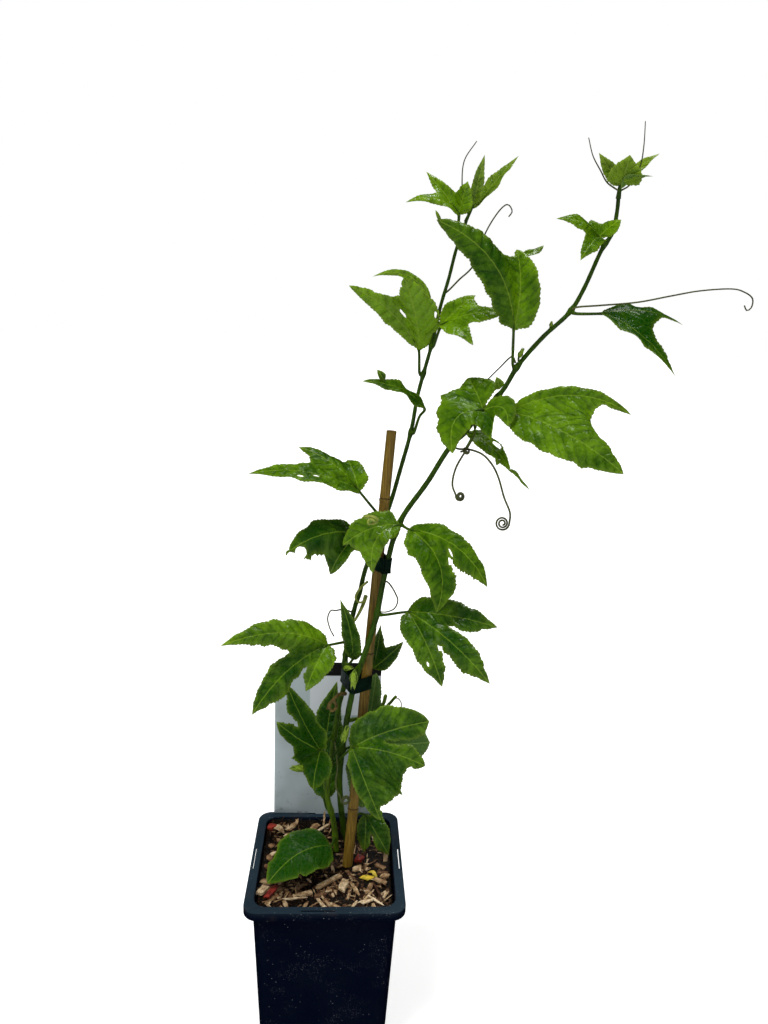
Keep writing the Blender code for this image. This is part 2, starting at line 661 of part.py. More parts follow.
def hull(points):
    """The corners of the smallest convex outline round flat points, anticlockwise."""
    points = sorted(set(points))
    chains = []
    for ordered in (points, points[::-1]):
        chain = []
        for p in ordered:
            while len(chain) > 1 and cross(chain[-2], chain[-1], p) <= 0:
                chain.pop()
            chain.append(p)
        chains.append(chain[:-1])
    return chains[0] + chains[1]


def cross(a, b, c):
    """Twice the signed area of a flat triangle."""
    return (b[0] - a[0]) * (c[1] - a[1]) - (b[1] - a[1]) * (c[0] - a[0])


def make_tie(name, z, sides, paths, parts):
    """A band of tape round the cane and the stems beside it, at right angles to the cane."""
    axis = (Vector(CANE_TOP) - Vector(CANE_FOOT)).normalized()
    centre = cane_point(z)
    across = Vector((0.0, 1.0, 0.0)).cross(axis).normalized()
    depth = axis.cross(across)
    points = []
    for level in (-1.0, -0.5, 0.0, 0.5, 1.0):
        height = z + level * (TIE_WIDTH / 2 + 2.5)
        members = [(cane_point(height), CANE_RADIUS)]
        for side in sides:
            place, _, i = point_at_height(paths[side], height)
            members.append((place, stem_radius(side, paths[side], i)))
        for place, radius in members:
            flat = ((place - centre).dot(across), (place - centre).dot(depth))
            for k in range(TIE_SIDES):
                angle = 2 * math.pi * k / TIE_SIDES
                reach = (radius + FIT) / math.cos(math.pi / TIE_SIDES)
                points.append((flat[0] + reach * math.cos(angle), flat[1] + reach * math.sin(angle)))
    outline = hull(points)
    rings = []
    for level in (-0.5, 0.5):
        middle = centre + axis * (level * TIE_WIDTH)
        rings.append([tuple(middle + across * p[0] + depth * p[1]) for p in outline])
    verts, faces = bands(rings)
    tie = mesh_object(name, verts, faces, parts)
    wall = tie.modifiers.new("wall", "SOLIDIFY")
    wall.thickness = TIE_WALL * MM
    wall.offset = 1.0
    wall.use_even_offset = True
    return as_mesh(tie)


def make_label(parts):
    """The card that stands on the back of the rim, with its tab down in the rim's slot."""
    half, tab, tab_depth = LABEL_WIDTH / 2, LABEL_TAB[0] / 2, LABEL_TAB[1]
    cut = LABEL_CORNER
    outline = [(-half, 0), (-tab, 0), (-tab, -tab_depth + cut), (-tab + cut, -tab_depth),
               (tab - cut, -tab_depth), (tab, -tab_depth + cut), (tab, 0), (half, 0),
               (half, LABEL_HEIGHT - cut), (half - cut, LABEL_HEIGHT), (cut - half, LABEL_HEIGHT),
               (-half, LABEL_HEIGHT - cut)]
    curve = bpy.data.curves.new("plant_label", "CURVE")
    curve.dimensions = "2D"
    curve.fill_mode = "BOTH"
    curve.extrude = LABEL_THICK / 2 * MM
    spline = curve.splines.new("POLY")
    spline.points.add(len(outline) - 1)
    for i, (x, y) in enumerate(outline):
        spline.points[i].co = (x * MM, y * MM, 0.0, 1.0)
    spline.use_cyclic_u = True
    label = bpy.data.objects.new("plant_label", curve)
    parts.objects.link(label)
    lean = math.radians(LABEL_LEAN)
    lift = half * abs(math.sin(lean)) + FIT
    label.rotation_euler = (math.radians(90), -lean, 0.0)
    label.location = Vector((LABEL_MIDDLE, slot_middle(), RIM_HEIGHT + lift)) * MM
    return as_mesh(label)


class Spine:
    """A lobe's midrib in space, with the blade's side and upper directions along it."""

    def __init__(self, junction, lobe, up):
        start, end = Vector(junction), Vector(lobe.tip)
        chord = end - start
        along = chord.normalized()
        rise = (Vector(up) - along * Vector(up).dot(along)).normalized()
        left = rise.cross(along)
        bend = start + chord / 2 + 2 * (lobe.bow * rise + lobe.side * left)
        self.places, self.ways, self.ups = [], [], []
        for i in range(SPINE_STEPS + 1):
            t = i / SPINE_STEPS
            self.places.append((1 - t) ** 2 * start + 2 * t * (1 - t) * bend + t ** 2 * end)
            way = ((1 - t) * (bend - start) + t * (end - bend)).normalized()
            normal = (rise - way * rise.dot(way)).normalized()
            turn = math.radians(lobe.twist) * t
            self.ways.append(way)
            self.ups.append(normal * math.cos(turn) + normal.cross(way) * -math.sin(turn))
        steps = [(b - a).length for a, b in zip(self.places, self.places[1:])]
        self.marks = [sum(steps[:i]) for i in range(len(steps) + 1)]
        self.length = self.marks[-1]

    def at(self, s):
        """The place, side direction and upper direction at a distance along the midrib."""
        held = min(max(s, 0.0), self.length)
        i = 0
        while i < SPINE_STEPS - 1 and self.marks[i + 1] < held:
            i += 1
        share = (held - self.marks[i]) / (self.marks[i + 1] - self.marks[i])
        way = self.ways[i].lerp(self.ways[i + 1], share).normalized()
        normal = self.ups[i].lerp(self.ups[i + 1], share).normalized()
        place = self.places[i].lerp(self.places[i + 1], share) + way * (s - held)
        return place, normal.cross(way), normal


class Blade:
    """The flat pattern of a leaf and the way it is bent into space."""

    def __init__(self, leaf):
        self.leaf = leaf
        up = Vector(leaf.up).normalized()
        spines = [(Spine(leaf.junction, lobe, up), lobe) for lobe in leaf.lobes]
        reference = spines[0][0].places[SPINE_STEPS // 3] - Vector(leaf.junction)
        ahead = (reference - up * reference.dot(up)).normalized()
        aside = up.cross(ahead)
        turned = []
        for spine, lobe in spines:
            way = spine.places[SPINE_STEPS // 3] - Vector(leaf.junction)
            turned.append((math.atan2(way.dot(aside), way.dot(ahead)), spine, lobe))
        turned.sort(key=lambda row: row[0])
        self.angles = [row[0] for row in turned]
        self.spines = [row[1] for row in turned]
        self.lobes = [row[2] for row in turned]

    def side(self, i, sign):
        """Marks down one side of a lobe, from its root to just before its tip."""
        spine, lobe = self.spines[i], self.lobes[i]
        length, width = spine.length, lobe.half_width
        other = i + (1 if sign > 0 else -1)
        if 0 <= other < len(self.lobes):
            half = abs(self.angles[other] - self.angles[i]) / 2
            reach = self.leaf.web[min(i, other)] * (length + self.spines[other].length) / 2
            reach = min(reach, WEB_LIMIT * min(length, self.spines[other].length))
            marks = [(reach * math.cos(half), reach * math.sin(half))]
            start = marks[0][0] / length
            for share, spread in INNER_SIDE:
                s = (start + (1 - start) * share) * length
                marks.append((s, min(width * spread, s * math.tan(half) * SIDE_LIMIT)))
        else:
            marks = []
            for full, narrow in zip(ROUND_BASE, WEDGE_BASE):
                marks.append((length * (full[0] + (narrow[0] - full[0]) * self.leaf.wedge),
                              width * (full[1] + (narrow[1] - full[1]) * self.leaf.wedge)))
            marks += [(share * length, spread * width) for share, spread in OUTER_SIDE]
            gap = math.pi - (self.angles[-1] - self.angles[0]) / 2
            if gap < math.pi / 2:
                marks = [(s, min(d, s * math.tan(gap) * SIDE_LIMIT)) for s, d in marks]
        marks.append((length, 0.0))
        return [self.turned(i, s, sign * d) for s, d in marks]

    def turned(self, i, s, d):
        """The flat point at a distance along a lobe's midrib and another to its left."""
        turn = self.angles[i]
        return s * math.cos(turn) - d * math.sin(turn), s * math.sin(turn) + d * math.cos(turn)

    def base(self):
        """The blade's own end, just behind the junction."""
        middle = (self.angles[0] + self.angles[-1]) / 2
        return (-BASE_REACH * math.cos(middle), -BASE_REACH * math.sin(middle))

    def toothed(self, marks, teeth, depth):
        """A side with teeth that point to the lobe's tip."""
        line = smooth_path([(x, y, 0.0) for x, y in marks], 2.0)
        lengths = [0.0]
        for a, b in zip(line, line[1:]):
            lengths.append(lengths[-1] + (b - a).length)
        points = [tuple(line[0].xy)]
        for tooth in range(teeth):
            for share, cut in ((0.45, depth), (1.0, 0.0)):
                at = (tooth + share) / teeth * lengths[-1]
                cut *= min(1.0, TIP_EASE * (1.0 - at / lengths[-1]))
                i = min(next(k for k in range(len(lengths)) if lengths[k] >= at - 1e-9), len(line) - 1)
                near = line[max(i - 1, 0)]
                place = line[i]
                way = (place - near).normalized() if i else Vector((1.0, 0.0, 0.0))
                inward = Vector((way.y, -way.x, 0.0))
                points.append((place.x + inward.x * cut, place.y + inward.y * cut))
        return points

    def outline(self):
        """The blade's edge, anticlockwise from its base."""
        edge = []
        for i in range(len(self.lobes)):
            start = [self.base()] if i == 0 else []
            end = [self.base()] if i == len(self.lobes) - 1 else []
            cut = min(TOOTH_DEPTH, TOOTH_SHARE * self.lobes[i].half_width)
            teeth = max(2, round(self.spines[i].length / TOOTH_PITCH))
            rising = self.toothed(start + self.side(i, -1), teeth, -cut)
            falling = self.toothed(end + self.side(i, 1), teeth, cut)[::-1]
            edge += rising[1:] if edge else rising
            edge += falling[1:]
        return edge[:-1]

    def midribs(self, spacing):
        """Flat points along each midrib."""
        points = []
        for i, spine in enumerate(self.spines):
            count = max(2, round(spine.length / spacing))
            points += [self.turned(i, spine.length * k / count, 0.0) for k in range(1, count)]
        return points

    def weights(self, angle):
        """How much each lobe's midrib carries a direction of the flat blade."""
        shares = [0.0] * len(self.angles)
        if angle <= self.angles[0]:
            shares[0] = 1.0
        elif angle >= self.angles[-1]:
            shares[-1] = 1.0
        else:
            for i in range(len(self.angles) - 1):
                if self.angles[i] <= angle <= self.angles[i + 1]:
                    t = (angle - self.angles[i]) / (self.angles[i + 1] - self.angles[i])
                    shares[i + 1] = t * t * (3 - 2 * t)
                    shares[i] = 1 - shares[i + 1]
        return shares

    def edge_point(self, lobe, share, aside):
        """The flat point at a share of a lobe's length and some half-widths to its left."""
        i = self.lobes.index(lobe)
        return self.turned(i, share * self.spines[i].length, aside * lobe.half_width)

    def bent(self, x, y):
        """The place in space of a point of the flat blade."""
        place = Vector((0.0, 0.0, 0.0))
        middle = (self.angles[0] + self.angles[-1]) / 2
        angle = math.remainder(math.atan2(y, x) - middle, 2 * math.pi) + middle
        for i, share in enumerate(self.weights(angle)):
            if share == 0.0:
                continue
            turn, lobe = self.angles[i], self.lobes[i]
            s = x * math.cos(turn) + y * math.sin(turn)
            d = y * math.cos(turn) - x * math.sin(turn)
            spot, left, normal = self.spines[i].at(s)
            spread = min(abs(d) / lobe.half_width, WIDEST_RIPPLE)
            phase = 2 * math.pi * s / WAVE_LENGTH + 2.0 * i + (d > 0)
            ripple = self.leaf.wave * spread ** 2 * math.sin(phase)
            lift = self.leaf.cup * d * d / lobe.half_width + ripple
            place += share * (spot + left * d + normal * lift)
        return place


def make_blade(name, blade, spacing, collection):
    """A blade as a thin solid, split into the same triangles on both faces."""
    points, faces = filled(blade.outline(), spacing, blade.midribs(spacing))
    sheet = mesh_object(name, [blade.bent(p.x, p.y) for p in points], faces, collection)
    wall = sheet.modifiers.new("thickness", "SOLIDIFY")
    wall.thickness = BLADE_THICK * MM
    wall.offset = 0.0
    return as_mesh(sheet)


def petiole_path(leaf, blade, foot, first):
    """A petiole's way from the stem to the blade, and a little way on under the midrib."""
    middle = blade.spines[len(blade.spines) // 2]
    under = []
    for s in (0.0, RIB_LENGTH):
        place, _, normal = middle.at(s)
        under.append(place - normal * RIB_SINK)
    way = [foot, first] + [Vector(p) for p in leaf.via] + under
    return smooth_path(way, PETIOLE_STEP)


def make_leaf(name, leaf, paths, parts, cutters):
    """A leaf: its blade joined to its petiole, whose foot is seated on the stem."""
    blade = Blade(leaf)
    solid = make_blade(name, blade, BLADE_GRID, parts)
    pieces = []
    if leaf.spur:
        number, share, aside, tip, half_width = leaf.spur
        base = blade.bent(*blade.edge_point(leaf.lobes[number], share, aside))
        spur = Leaf(leaf.stem, leaf.seat, base, leaf.up, [Lobe(tip, half_width, 1.0)])
        pieces.append(make_blade("spur", Blade(spur), BLADE_GRID, cutters))
    path = paths[leaf.stem]
    place, along, i = point_at_height(path, leaf.seat)
    toward = Vector(leaf.via[0] if leaf.via else leaf.junction) - place
    out = (toward - along * toward.dot(along)).normalized()
    radius = stem_radius(leaf.stem, path, i)
    way = petiole_path(leaf, blade, place + out * (radius + FIT), place + out * (radius + 3.0))
    pieces.append(tube("petiole", way, (PETIOLE_RADIUS, PETIOLE_RADIUS * 0.75), cutters))
    return boolean(solid, pieces, "UNION")


def make_bunch(name, bunch, parts, cutters):
    """Young leaves at the end of a stem, joined on one short stalk."""
    foot, neck = Vector(bunch["foot"]), Vector(bunch["neck"])
    on = neck + (neck - foot).normalized() * 2.0
    radii = (bunch["radius"], bunch["radius"] * 0.8)
    stalk = tube(name, smooth_path((foot, neck, on), PETIOLE_STEP), radii, parts)
    pieces = [make_blade("blade", Blade(leaf), YOUNG_GRID, cutters) for leaf in bunch["blades"]]
    pieces += [make_tendril(smooth_path(way, TENDRIL_STEP), cutters) for way in bunch["tendrils"]]
    return boolean(stalk, pieces, "UNION")


def root_cutter(name, path, radii, cutters):
    """A rod a little wider and deeper than a stem or cane, that cuts its hole in the soil."""
    below = path[0] - (path[1] - path[0]).normalized() * FIT
    upper = [p for p in path[1:] if p.z < SOIL_TOP + 12.0]
    end = path[len(upper) + 1]
    line = [below] + upper + [end]
    return tube(name, line, [radii[i] + 2 * FIT for i in range(len(line))], cutters, 2)


def main():
    """Build every piece of the potted vine."""
    for obj in list(bpy.data.objects):
        bpy.data.objects.remove(obj)
    parts = new_collection("potted_passion_fruit_vine")
    cutters = new_collection("cutters")
    looks = {name: new_material(name) for name in COLOURS}

    finish(make_pot(parts, cutters), looks["pot_plastic"])
    paths = {"left": stem_path(LEFT_STEM), "right": stem_path(RIGHT_STEM)}
    rods = []
    for side, path in paths.items():
        radii = [stem_radius(side, path, i) for i in range(len(path))]
        rods.append(root_cutter("root_hole", path, radii, cutters))
    cane_line = [Vector(CANE_FOOT), cane_point(SOIL_TOP), cane_point(SOIL_TOP + 12.0)]
    rods.append(root_cutter("cane_hole", cane_line, [CANE_RADIUS] * 3, cutters))
    soil = boolean(make_soil(parts, cutters), rods, "DIFFERENCE")
    finish(soil, looks["potting_mix"], smooth=False)
    finish(make_cane(parts), looks["bamboo"])
    finish(make_label(parts), looks["label_card"], smooth=False)
    finish(make_tie("lower_tie", LOWER_TIE, ("left", "right"), paths, parts), looks["tie_tape"])
    finish(make_tie("upper_tie", UPPER_TIE, ("right",), paths, parts), looks["tie_tape"])

    right_growths = RIGHT_TENDRILS + (BLACKENED_STALK,)
    finish(make_stem("left", LEFT_STEM, LEFT_TENDRILS, parts, cutters), looks["stem_green"])
    finish(make_stem("right", RIGHT_STEM, right_growths, parts, cutters), looks["stem_green"])
    for name, leaf in LEAVES.items():
        finish(make_leaf(name, leaf, paths, parts, cutters), looks["leaf_green"])
    for name, bunch in BUNCHES.items():
        finish(make_bunch(name, bunch, parts, cutters), looks["young_leaf"])


main()
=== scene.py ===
"""Looks of a passion fruit vine in a square nursery pot, tied to a bamboo cane.

Places and sizes are in millimetres until a mesh is made, and in metres after that. X points
right in the front view, Y away from the viewer and Z up, as in the CAD model.
"""

import logging
import random
from bisect import bisect_left
from collections.abc import Iterable, Sequence
from dataclasses import dataclass, field
from enum import Enum
from itertools import accumulate
from math import atan2, cos, exp, pi, radians, remainder, sin, sqrt, tan

import bmesh
import bpy
import numpy as np
from bpy.types import Material, Node, Object
from mathutils import Matrix, Vector, noise
from mathutils.geometry import delaunay_2d_cdt
from mathutils.kdtree import KDTree


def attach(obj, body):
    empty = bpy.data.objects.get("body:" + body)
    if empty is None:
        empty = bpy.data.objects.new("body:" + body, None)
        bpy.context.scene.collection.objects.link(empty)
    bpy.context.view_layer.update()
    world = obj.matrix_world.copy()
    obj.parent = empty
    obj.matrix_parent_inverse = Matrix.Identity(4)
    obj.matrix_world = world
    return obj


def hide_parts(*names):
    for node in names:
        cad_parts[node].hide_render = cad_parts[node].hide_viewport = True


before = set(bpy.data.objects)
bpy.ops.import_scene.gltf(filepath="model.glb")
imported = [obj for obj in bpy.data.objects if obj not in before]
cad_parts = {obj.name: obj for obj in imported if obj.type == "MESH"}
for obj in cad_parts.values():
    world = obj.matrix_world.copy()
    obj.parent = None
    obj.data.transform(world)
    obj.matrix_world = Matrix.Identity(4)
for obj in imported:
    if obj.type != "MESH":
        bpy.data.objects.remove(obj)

MM = 0.001
ROOT = "root"
LOG = logging.getLogger("vine")

Point = tuple[float, float, float]
Flat = tuple[float, float]
Colour = tuple[float, float, float]
Socket = bpy.types.NodeSocket


class Slot(Enum):
    """The record's material slots."""

    POT = "pot_plastic"
    MIX = "potting_mix"
    CANE = "bamboo"
    TIE = "tie_tape"
    LABEL = "label_card"
    STEM = "stem_green"
    LEAF = "leaf_green"
    YOUNG = "young_leaf"


class Face(Enum):
    """The sides of a leaf, by their material's place on its mesh."""

    UPPER = 0
    UNDER = 1


# Paths and shapes by hand


def smooth_path(points: Sequence[Point], step: float) -> list[Vector]:
    """Lay points along a smooth curve.

    Args:
        points: The points that the curve runs through.
        step: About how far apart the new points are.

    Returns:
        The points of the curve, with both ends.
    """
    pts = [Vector(p) for p in points]
    ends = [2 * pts[0] - pts[1]] + pts + [2 * pts[-1] - pts[-2]]
    path = []
    for a, b, c, d in zip(ends, ends[1:], ends[2:], ends[3:]):
        count = max(1, round((c - b).length / step))
        for i in range(count):
            t = i / count
            path.append(0.5 * (2 * b + (c - a) * t + (2 * a - 5 * b + 4 * c - d) * t ** 2
                               + (3 * b - a - 3 * c + d) * t ** 3))
    path.append(pts[-1])
    return path


def eased(t: float) -> float:
    """A share from 0 to 1 with soft ends."""
    t = min(max(t, 0.0), 1.0)
    return t * t * (3 - 2 * t)


def swell(at: float, middle: float, reach: float) -> float:
    """A soft rise, 1 at its middle and next to nothing two reaches away."""
    return exp(-((at - middle) / reach) ** 2)


def tapered(first: float, last: float, count: int, power: float = 1.0) -> list[float]:
    """Values that run from a first one to a last one."""
    return [first + (last - first) * (i / (count - 1)) ** power for i in range(count)]


def marks_along(line: Sequence[Vector]) -> list[float]:
    """How far along a line each of its points lies."""
    return list(accumulate(((b - a).length for a, b in zip(line, line[1:])), initial=0.0))


def span(marks: Sequence[float], at: float) -> tuple[int, float]:
    """The mark before a place on a line, and the share of the way to the next one."""
    k = min(bisect_left(marks, at, 1), len(marks) - 1) - 1
    return k, min((at - marks[k]) / max(marks[k + 1] - marks[k], 1e-9), 1.0)


def on_line(line: Sequence[Vector], marks: Sequence[float], at: float) -> tuple[Vector, Vector]:
    """The place at a distance along a line with its marks, and the line's direction there."""
    k, share = span(marks, at)
    return line[k].lerp(line[k + 1], share), (line[k + 1] - line[k]).normalized()


def arc(x: float, y: float, radius: float, first: float, step: float = 15, count: int = 7) -> list[Flat]:
    """Points on an arc about a middle, from a first angle on, in degrees."""
    turns = [radians(first + step * k) for k in range(count)]
    return [(x + radius * cos(t), y + radius * sin(t)) for t in turns]


def rounded_square(half: float, corner: float, z: float, steps: int = 10) -> list[Point]:
    """Give a ring of points on a square with round corners.

    Args:
        half: Half the square's width.
        corner: The corner's radius.
        z: The ring's height.
        steps: How many edges a corner has.

    Returns:
        The points, anticlockwise from above.
    """
    ring = []
    for quarter in range(4):
        turn = radians(90 * quarter)
        for i in range(steps + 1):
            angle = radians(90) * i / steps
            x, y = half - corner + corner * cos(angle), half - corner + corner * sin(angle)
            ring.append((x * cos(turn) - y * sin(turn), x * sin(turn) + y * cos(turn), z))
    return ring


def skin(rings: Sequence[Sequence[Point]]) -> tuple[list[Point], list[tuple[int, ...]]]:
    """Skin over rings of equal counts, and close both ends.

    Args:
        rings: The rings, each anticlockwise from outside of the first.

    Returns:
        The points and the faces.
    """
    count = len(rings[0])
    last = (len(rings) - 1) * count
    faces = [(low + i, low + (i + 1) % count, low + count + (i + 1) % count, low + count + i)
             for low in range(0, last, count) for i in range(count)]
    faces += [tuple(reversed(range(count))), tuple(range(last, last + count))]
    return [p for ring in rings for p in ring], faces


def placed(name: str, data: bpy.types.ID) -> Object:
    """Put an object with its data into the scene.

    Args:
        name: Its name.
        data: What it shows.

    Returns:
        The object.
    """
    obj = bpy.data.objects.new(name, data)
    bpy.context.scene.collection.objects.link(obj)
    return obj


def new_object(name: str, verts: Iterable[Point], faces: Iterable[Sequence[int]],
               edges: Iterable[tuple[int, int]] = ()) -> Object:
    """Make an object in the scene.

    Args:
        name: The object's name.
        verts: Its points in millimetres.
        faces: Its faces.
        edges: Its edges, where it is a wire.

    Returns:
        The object, at the origin.
    """
    mesh = bpy.data.meshes.new(name)
    mesh.from_pydata([Vector(v) * MM for v in verts], list(edges), [tuple(f) for f in faces])
    return placed(name, mesh)


def carry(obj: Object, label: str, values: Sequence[float]) -> None:
    """Give each point of an object a number to carry."""
    obj.data.attributes.new(label, "FLOAT", "POINT").data.foreach_set("value", values)


def plain_mesh(obj: Object) -> None:
    """Turn an object's modifiers into its mesh and drop them.

    Args:
        obj: The object.
    """
    bpy.context.view_layer.update()
    graph = bpy.context.evaluated_depsgraph_get()
    mesh = bpy.data.meshes.new_from_object(obj.evaluated_get(graph), depsgraph=graph)
    obj.modifiers.clear()
    obj.data = mesh


def outward(obj: Object) -> None:
    """Weld an object's doubles and turn its faces outwards.

    Args:
        obj: The object.
    """
    work = bmesh.new()
    work.from_mesh(obj.data)
    bmesh.ops.remove_doubles(work, verts=work.verts, dist=1e-7)
    bmesh.ops.recalc_face_normals(work, faces=work.faces)
    work.to_mesh(obj.data)
    work.free()


def joined(objects: Sequence[Object]) -> Object:
    """Join objects into the first one, which keeps its name.

    Args:
        objects: The objects, with the one that stays first.

    Returns:
        The first object.
    """
    if len(objects) > 1:
        with bpy.context.temp_override(active_object=objects[0], selected_objects=objects,
                                       selected_editable_objects=objects):
            bpy.ops.object.join()
    return objects[0]


def smooth(obj: Object, angle: float) -> None:
    """Shade an object smooth, apart from edges sharper than an angle in degrees."""
    obj.data.shade_smooth()
    obj.data.set_sharp_from_angle(angle=radians(angle))


def dressed(obj: Object, material: Material, angle: float) -> Object:
    """Turn an object's faces outwards, and give it its material and its shading.

    Args:
        obj: The object.
        material: Its material.
        angle: Edges sharper than this many degrees stay sharp.

    Returns:
        The same object.
    """
    outward(obj)
    obj.data.materials.append(material)
    smooth(obj, angle)
    return obj


def seat(obj: Object, slot: Slot, *nodes: str) -> None:
    """Hand a finished piece to the frame.

    Args:
        obj: The piece.
        slot: The record's material slot of the piece; not used.
        nodes: The CAD nodes that it stands for.
    """
    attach(obj, ROOT)
    if nodes:
        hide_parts(*nodes)
    LOG.info("%s: %d faces, for %s", obj.name, len(obj.data.polygons), ", ".join(nodes) or "no node")


# Finishes


class Tree:
    """A node tree, wired by short calls."""

    family = "ShaderNode"

    def __init__(self, tree: bpy.types.NodeTree) -> None:
        """Take the tree to fill."""
        self.tree = tree

    def put(self, socket: Socket, value: object) -> None:
        """Link a socket to another or to a node's first output, or set its plain value.

        Args:
            socket: The socket to feed.
            value: A socket, a node or a plain value.
        """
        value = value.outputs[0] if isinstance(value, Node) else value
        if isinstance(value, Socket):
            self.tree.links.new(value, socket)
        elif isinstance(value, tuple) and socket.type == "RGBA":
            socket.default_value = (*value, 1.0)
        else:
            socket.default_value = value

    def node(self, kind: str, inputs: dict[int | str, object], **settings: object) -> Node:
        """Add a node.

        Args:
            kind: The node's type, without the tree's own family.
            inputs: Values, sockets or nodes, by the input's number or name.
            settings: The node's own settings.

        Returns:
            The node.
        """
        made = self.tree.nodes.new(kind if "Node" in kind else self.family + kind)
        for key, value in settings.items():
            setattr(made, key, value)
        for key, value in inputs.items():
            self.put(made.inputs[key], value)
        return made

    def calc(self, operation: str, a: object, b: object = 0.0) -> Socket:
        """One sum on two values."""
        return self.node("ShaderNodeMath", {0: a, 1: b}, operation=operation).outputs[0]

    def times(self, a: object, b: object) -> Socket:
        """One value times another."""
        return self.calc("MULTIPLY", a, b)


class Graph(Tree):
    """A material's nodes."""

    def __init__(self, name: str) -> None:
        """Start a material with one Principled shader.

        Args:
            name: The material's name.
        """
        self.material = bpy.data.materials.new(name)
        self.material.use_nodes = True
        super().__init__(self.material.node_tree)

    def spot(self, scale: Point = (1.0, 1.0, 1.0), turn: Point = (0.0, 0.0, 0.0)) -> Socket:
        """Object coordinates, scaled and turned."""
        source = self.node("TexCoord", {}).outputs["Object"]
        return self.node("Mapping", {0: source, 2: turn, 3: scale}).outputs[0]

    def facing(self, axis: int) -> Socket:
        """How far the surface faces along an axis."""
        return self.node("SeparateXYZ", {0: self.node("NewGeometry", {}).outputs["Normal"]}).outputs[axis]

    def layer(self, name: str) -> Socket:
        """A UV map of the piece's own."""
        return self.node("UVMap", {}, uv_map=name).outputs[0]

    def measure(self, name: str) -> Socket:
        """A number that the piece's points carry."""
        return self.node("Attribute", {}, attribute_name=name).outputs["Fac"]

    def noise(self, at: Socket, scale: float, detail: float = 2.0, warp: float = 0.0) -> Socket:
        """Cloudy noise from 0 to 1."""
        return self.node("TexNoise", {0: at, 2: scale, 3: detail, 8: warp}).outputs[0]

    def cells(self, at: Socket, scale: float, feature: str = "F1") -> Socket:
        """The distance to the points or edges of a cell pattern."""
        return self.node("TexVoronoi", {0: at, 2: scale}, feature=feature).outputs[0]

    def plus(self, value: object, *more: tuple[object, float]) -> Socket:
        """A value with shares of others added.

        Args:
            value: The first value.
            more: Each further value, with its share.

        Returns:
            The sum.
        """
        for other, share in more:
            value = self.calc("ADD", value, self.times(other, share))
        return value

    def ramp(self, value: Socket, low: float, high: float, first: float = 0.0, last: float = 1.0) -> Socket:
        """Map a value softly from one span to another."""
        return self.node("MapRange", {0: value, 1: low, 2: high, 3: first, 4: last},
                         interpolation_type="SMOOTHSTEP").outputs[0]

    def paint(self, colour: object, *coats: tuple[object, object]) -> Socket:
        """A colour with others laid over it, each by its share.

        Args:
            colour: The lowest colour.
            coats: Each coat's share, and its colour.

        Returns:
            The colour.
        """
        for share, other in coats:
            colour = self.node("Mix", {0: share, 6: colour, 7: other}, data_type="RGBA").outputs[2]
        return colour

    def bump(self, height: Socket, depth: float) -> Socket:
        """A relief of a depth in metres."""
        return self.node("Bump", {"Strength": 1.0, "Distance": depth, "Height": height}).outputs[0]

    def end(self, **inputs: object) -> Material:
        """Set the shader's sockets by name, with _ for each space, and give the material.

        Args:
            inputs: The sockets' values, by name.

        Returns:
            The material.
        """
        for key, value in inputs.items():
            self.put(self.tree.nodes["Principled BSDF"].inputs[key.replace("_", " ")], value)
        return self.material


@dataclass(frozen=True)
class LeafFinish:
    """A glossy leaf: deep green with pale veins, painted shade in the grooves along them, and a crinkled surface
    between them.
    """

    name: str
    dark: Colour
    light: Colour
    vein: Colour
    roughness: float = 0.30
    coat: float = 0.2
    vein_share: float = 0.40
    gloss: float = 0.42

    def build(self) -> Material:
        """Build the material from the blade's vein map, flat map and tone.

        Returns:
            The material.
        """
        g = Graph(self.name)
        veins, flat = g.layer("veins"), g.layer("flat")
        parts = g.node("SeparateXYZ", {0: veins}).outputs
        phase = g.calc("ADD", parts[0], g.ramp(g.noise(flat, 14.0, 1.0), 0.2, 0.8, -0.14, 0.14))
        to_vein = g.calc("ABSOLUTE", g.calc("SUBTRACT", g.calc("FRACT", phase), 0.5))
        valley = g.ramp(to_vein, 0.30, 0.5)
        middle = g.ramp(g.calc("ABSOLUTE", parts[1]), 0.012, 0.055, 1.0, 0.0)
        net = g.ramp(g.cells(flat, 30.0, "DISTANCE_TO_EDGE"), 0.0, 0.26, 1.0, 0.0)
        drawn = g.node("Mapping", {0: veins, 3: (1.0, 0.45, 1.0)})
        share = g.measure("tone")
        for at, scale, detail, swing in ((flat, 6.0, 4.0, 0.14), (drawn, 1.5, 4.0, 0.07), (flat, 30.0, 2.0, 0.05)):
            share = g.calc("ADD", share, g.ramp(g.noise(at, scale, detail), 0.3, 0.7, -swing, swing))
        # Painted shade: the colour darkens in the grooves along the side veins (valley) and along the fine vein net
        # (net).
        share = g.plus(share, (valley, -0.10), (net, -0.06))
        lines = g.calc("MAXIMUM", g.times(g.ramp(to_vein, 0.455, 0.497), 0.25), middle)
        lines = g.calc("MAXIMUM", lines, g.times(net, 0.10))
        colour = g.paint(self.dark, (g.ramp(share, 0.0, 1.0), self.light),
                         (g.times(g.measure("edge"), 0.30), self.vein), (g.times(lines, self.vein_share), self.vein))
        relief = g.plus(1.0, (valley, -0.35), (g.cells(flat, 44.0, "SMOOTH_F1"), -0.60),
                        (g.noise(flat, 18.0, 4.0), 0.7))
        rough = g.ramp(g.noise(flat, 30.0, 2.0), 0.25, 0.75, self.roughness - 0.06, self.roughness + 0.08)
        shine = g.measure("shine")
        return g.end(Base_Color=colour, Roughness=rough, Normal=g.bump(relief, 0.0009),
                     Coat_Weight=g.times(shine, self.coat) if self.coat else 0.0,
                     Coat_Roughness=0.18, Specular_IOR_Level=g.times(shine, self.gloss))


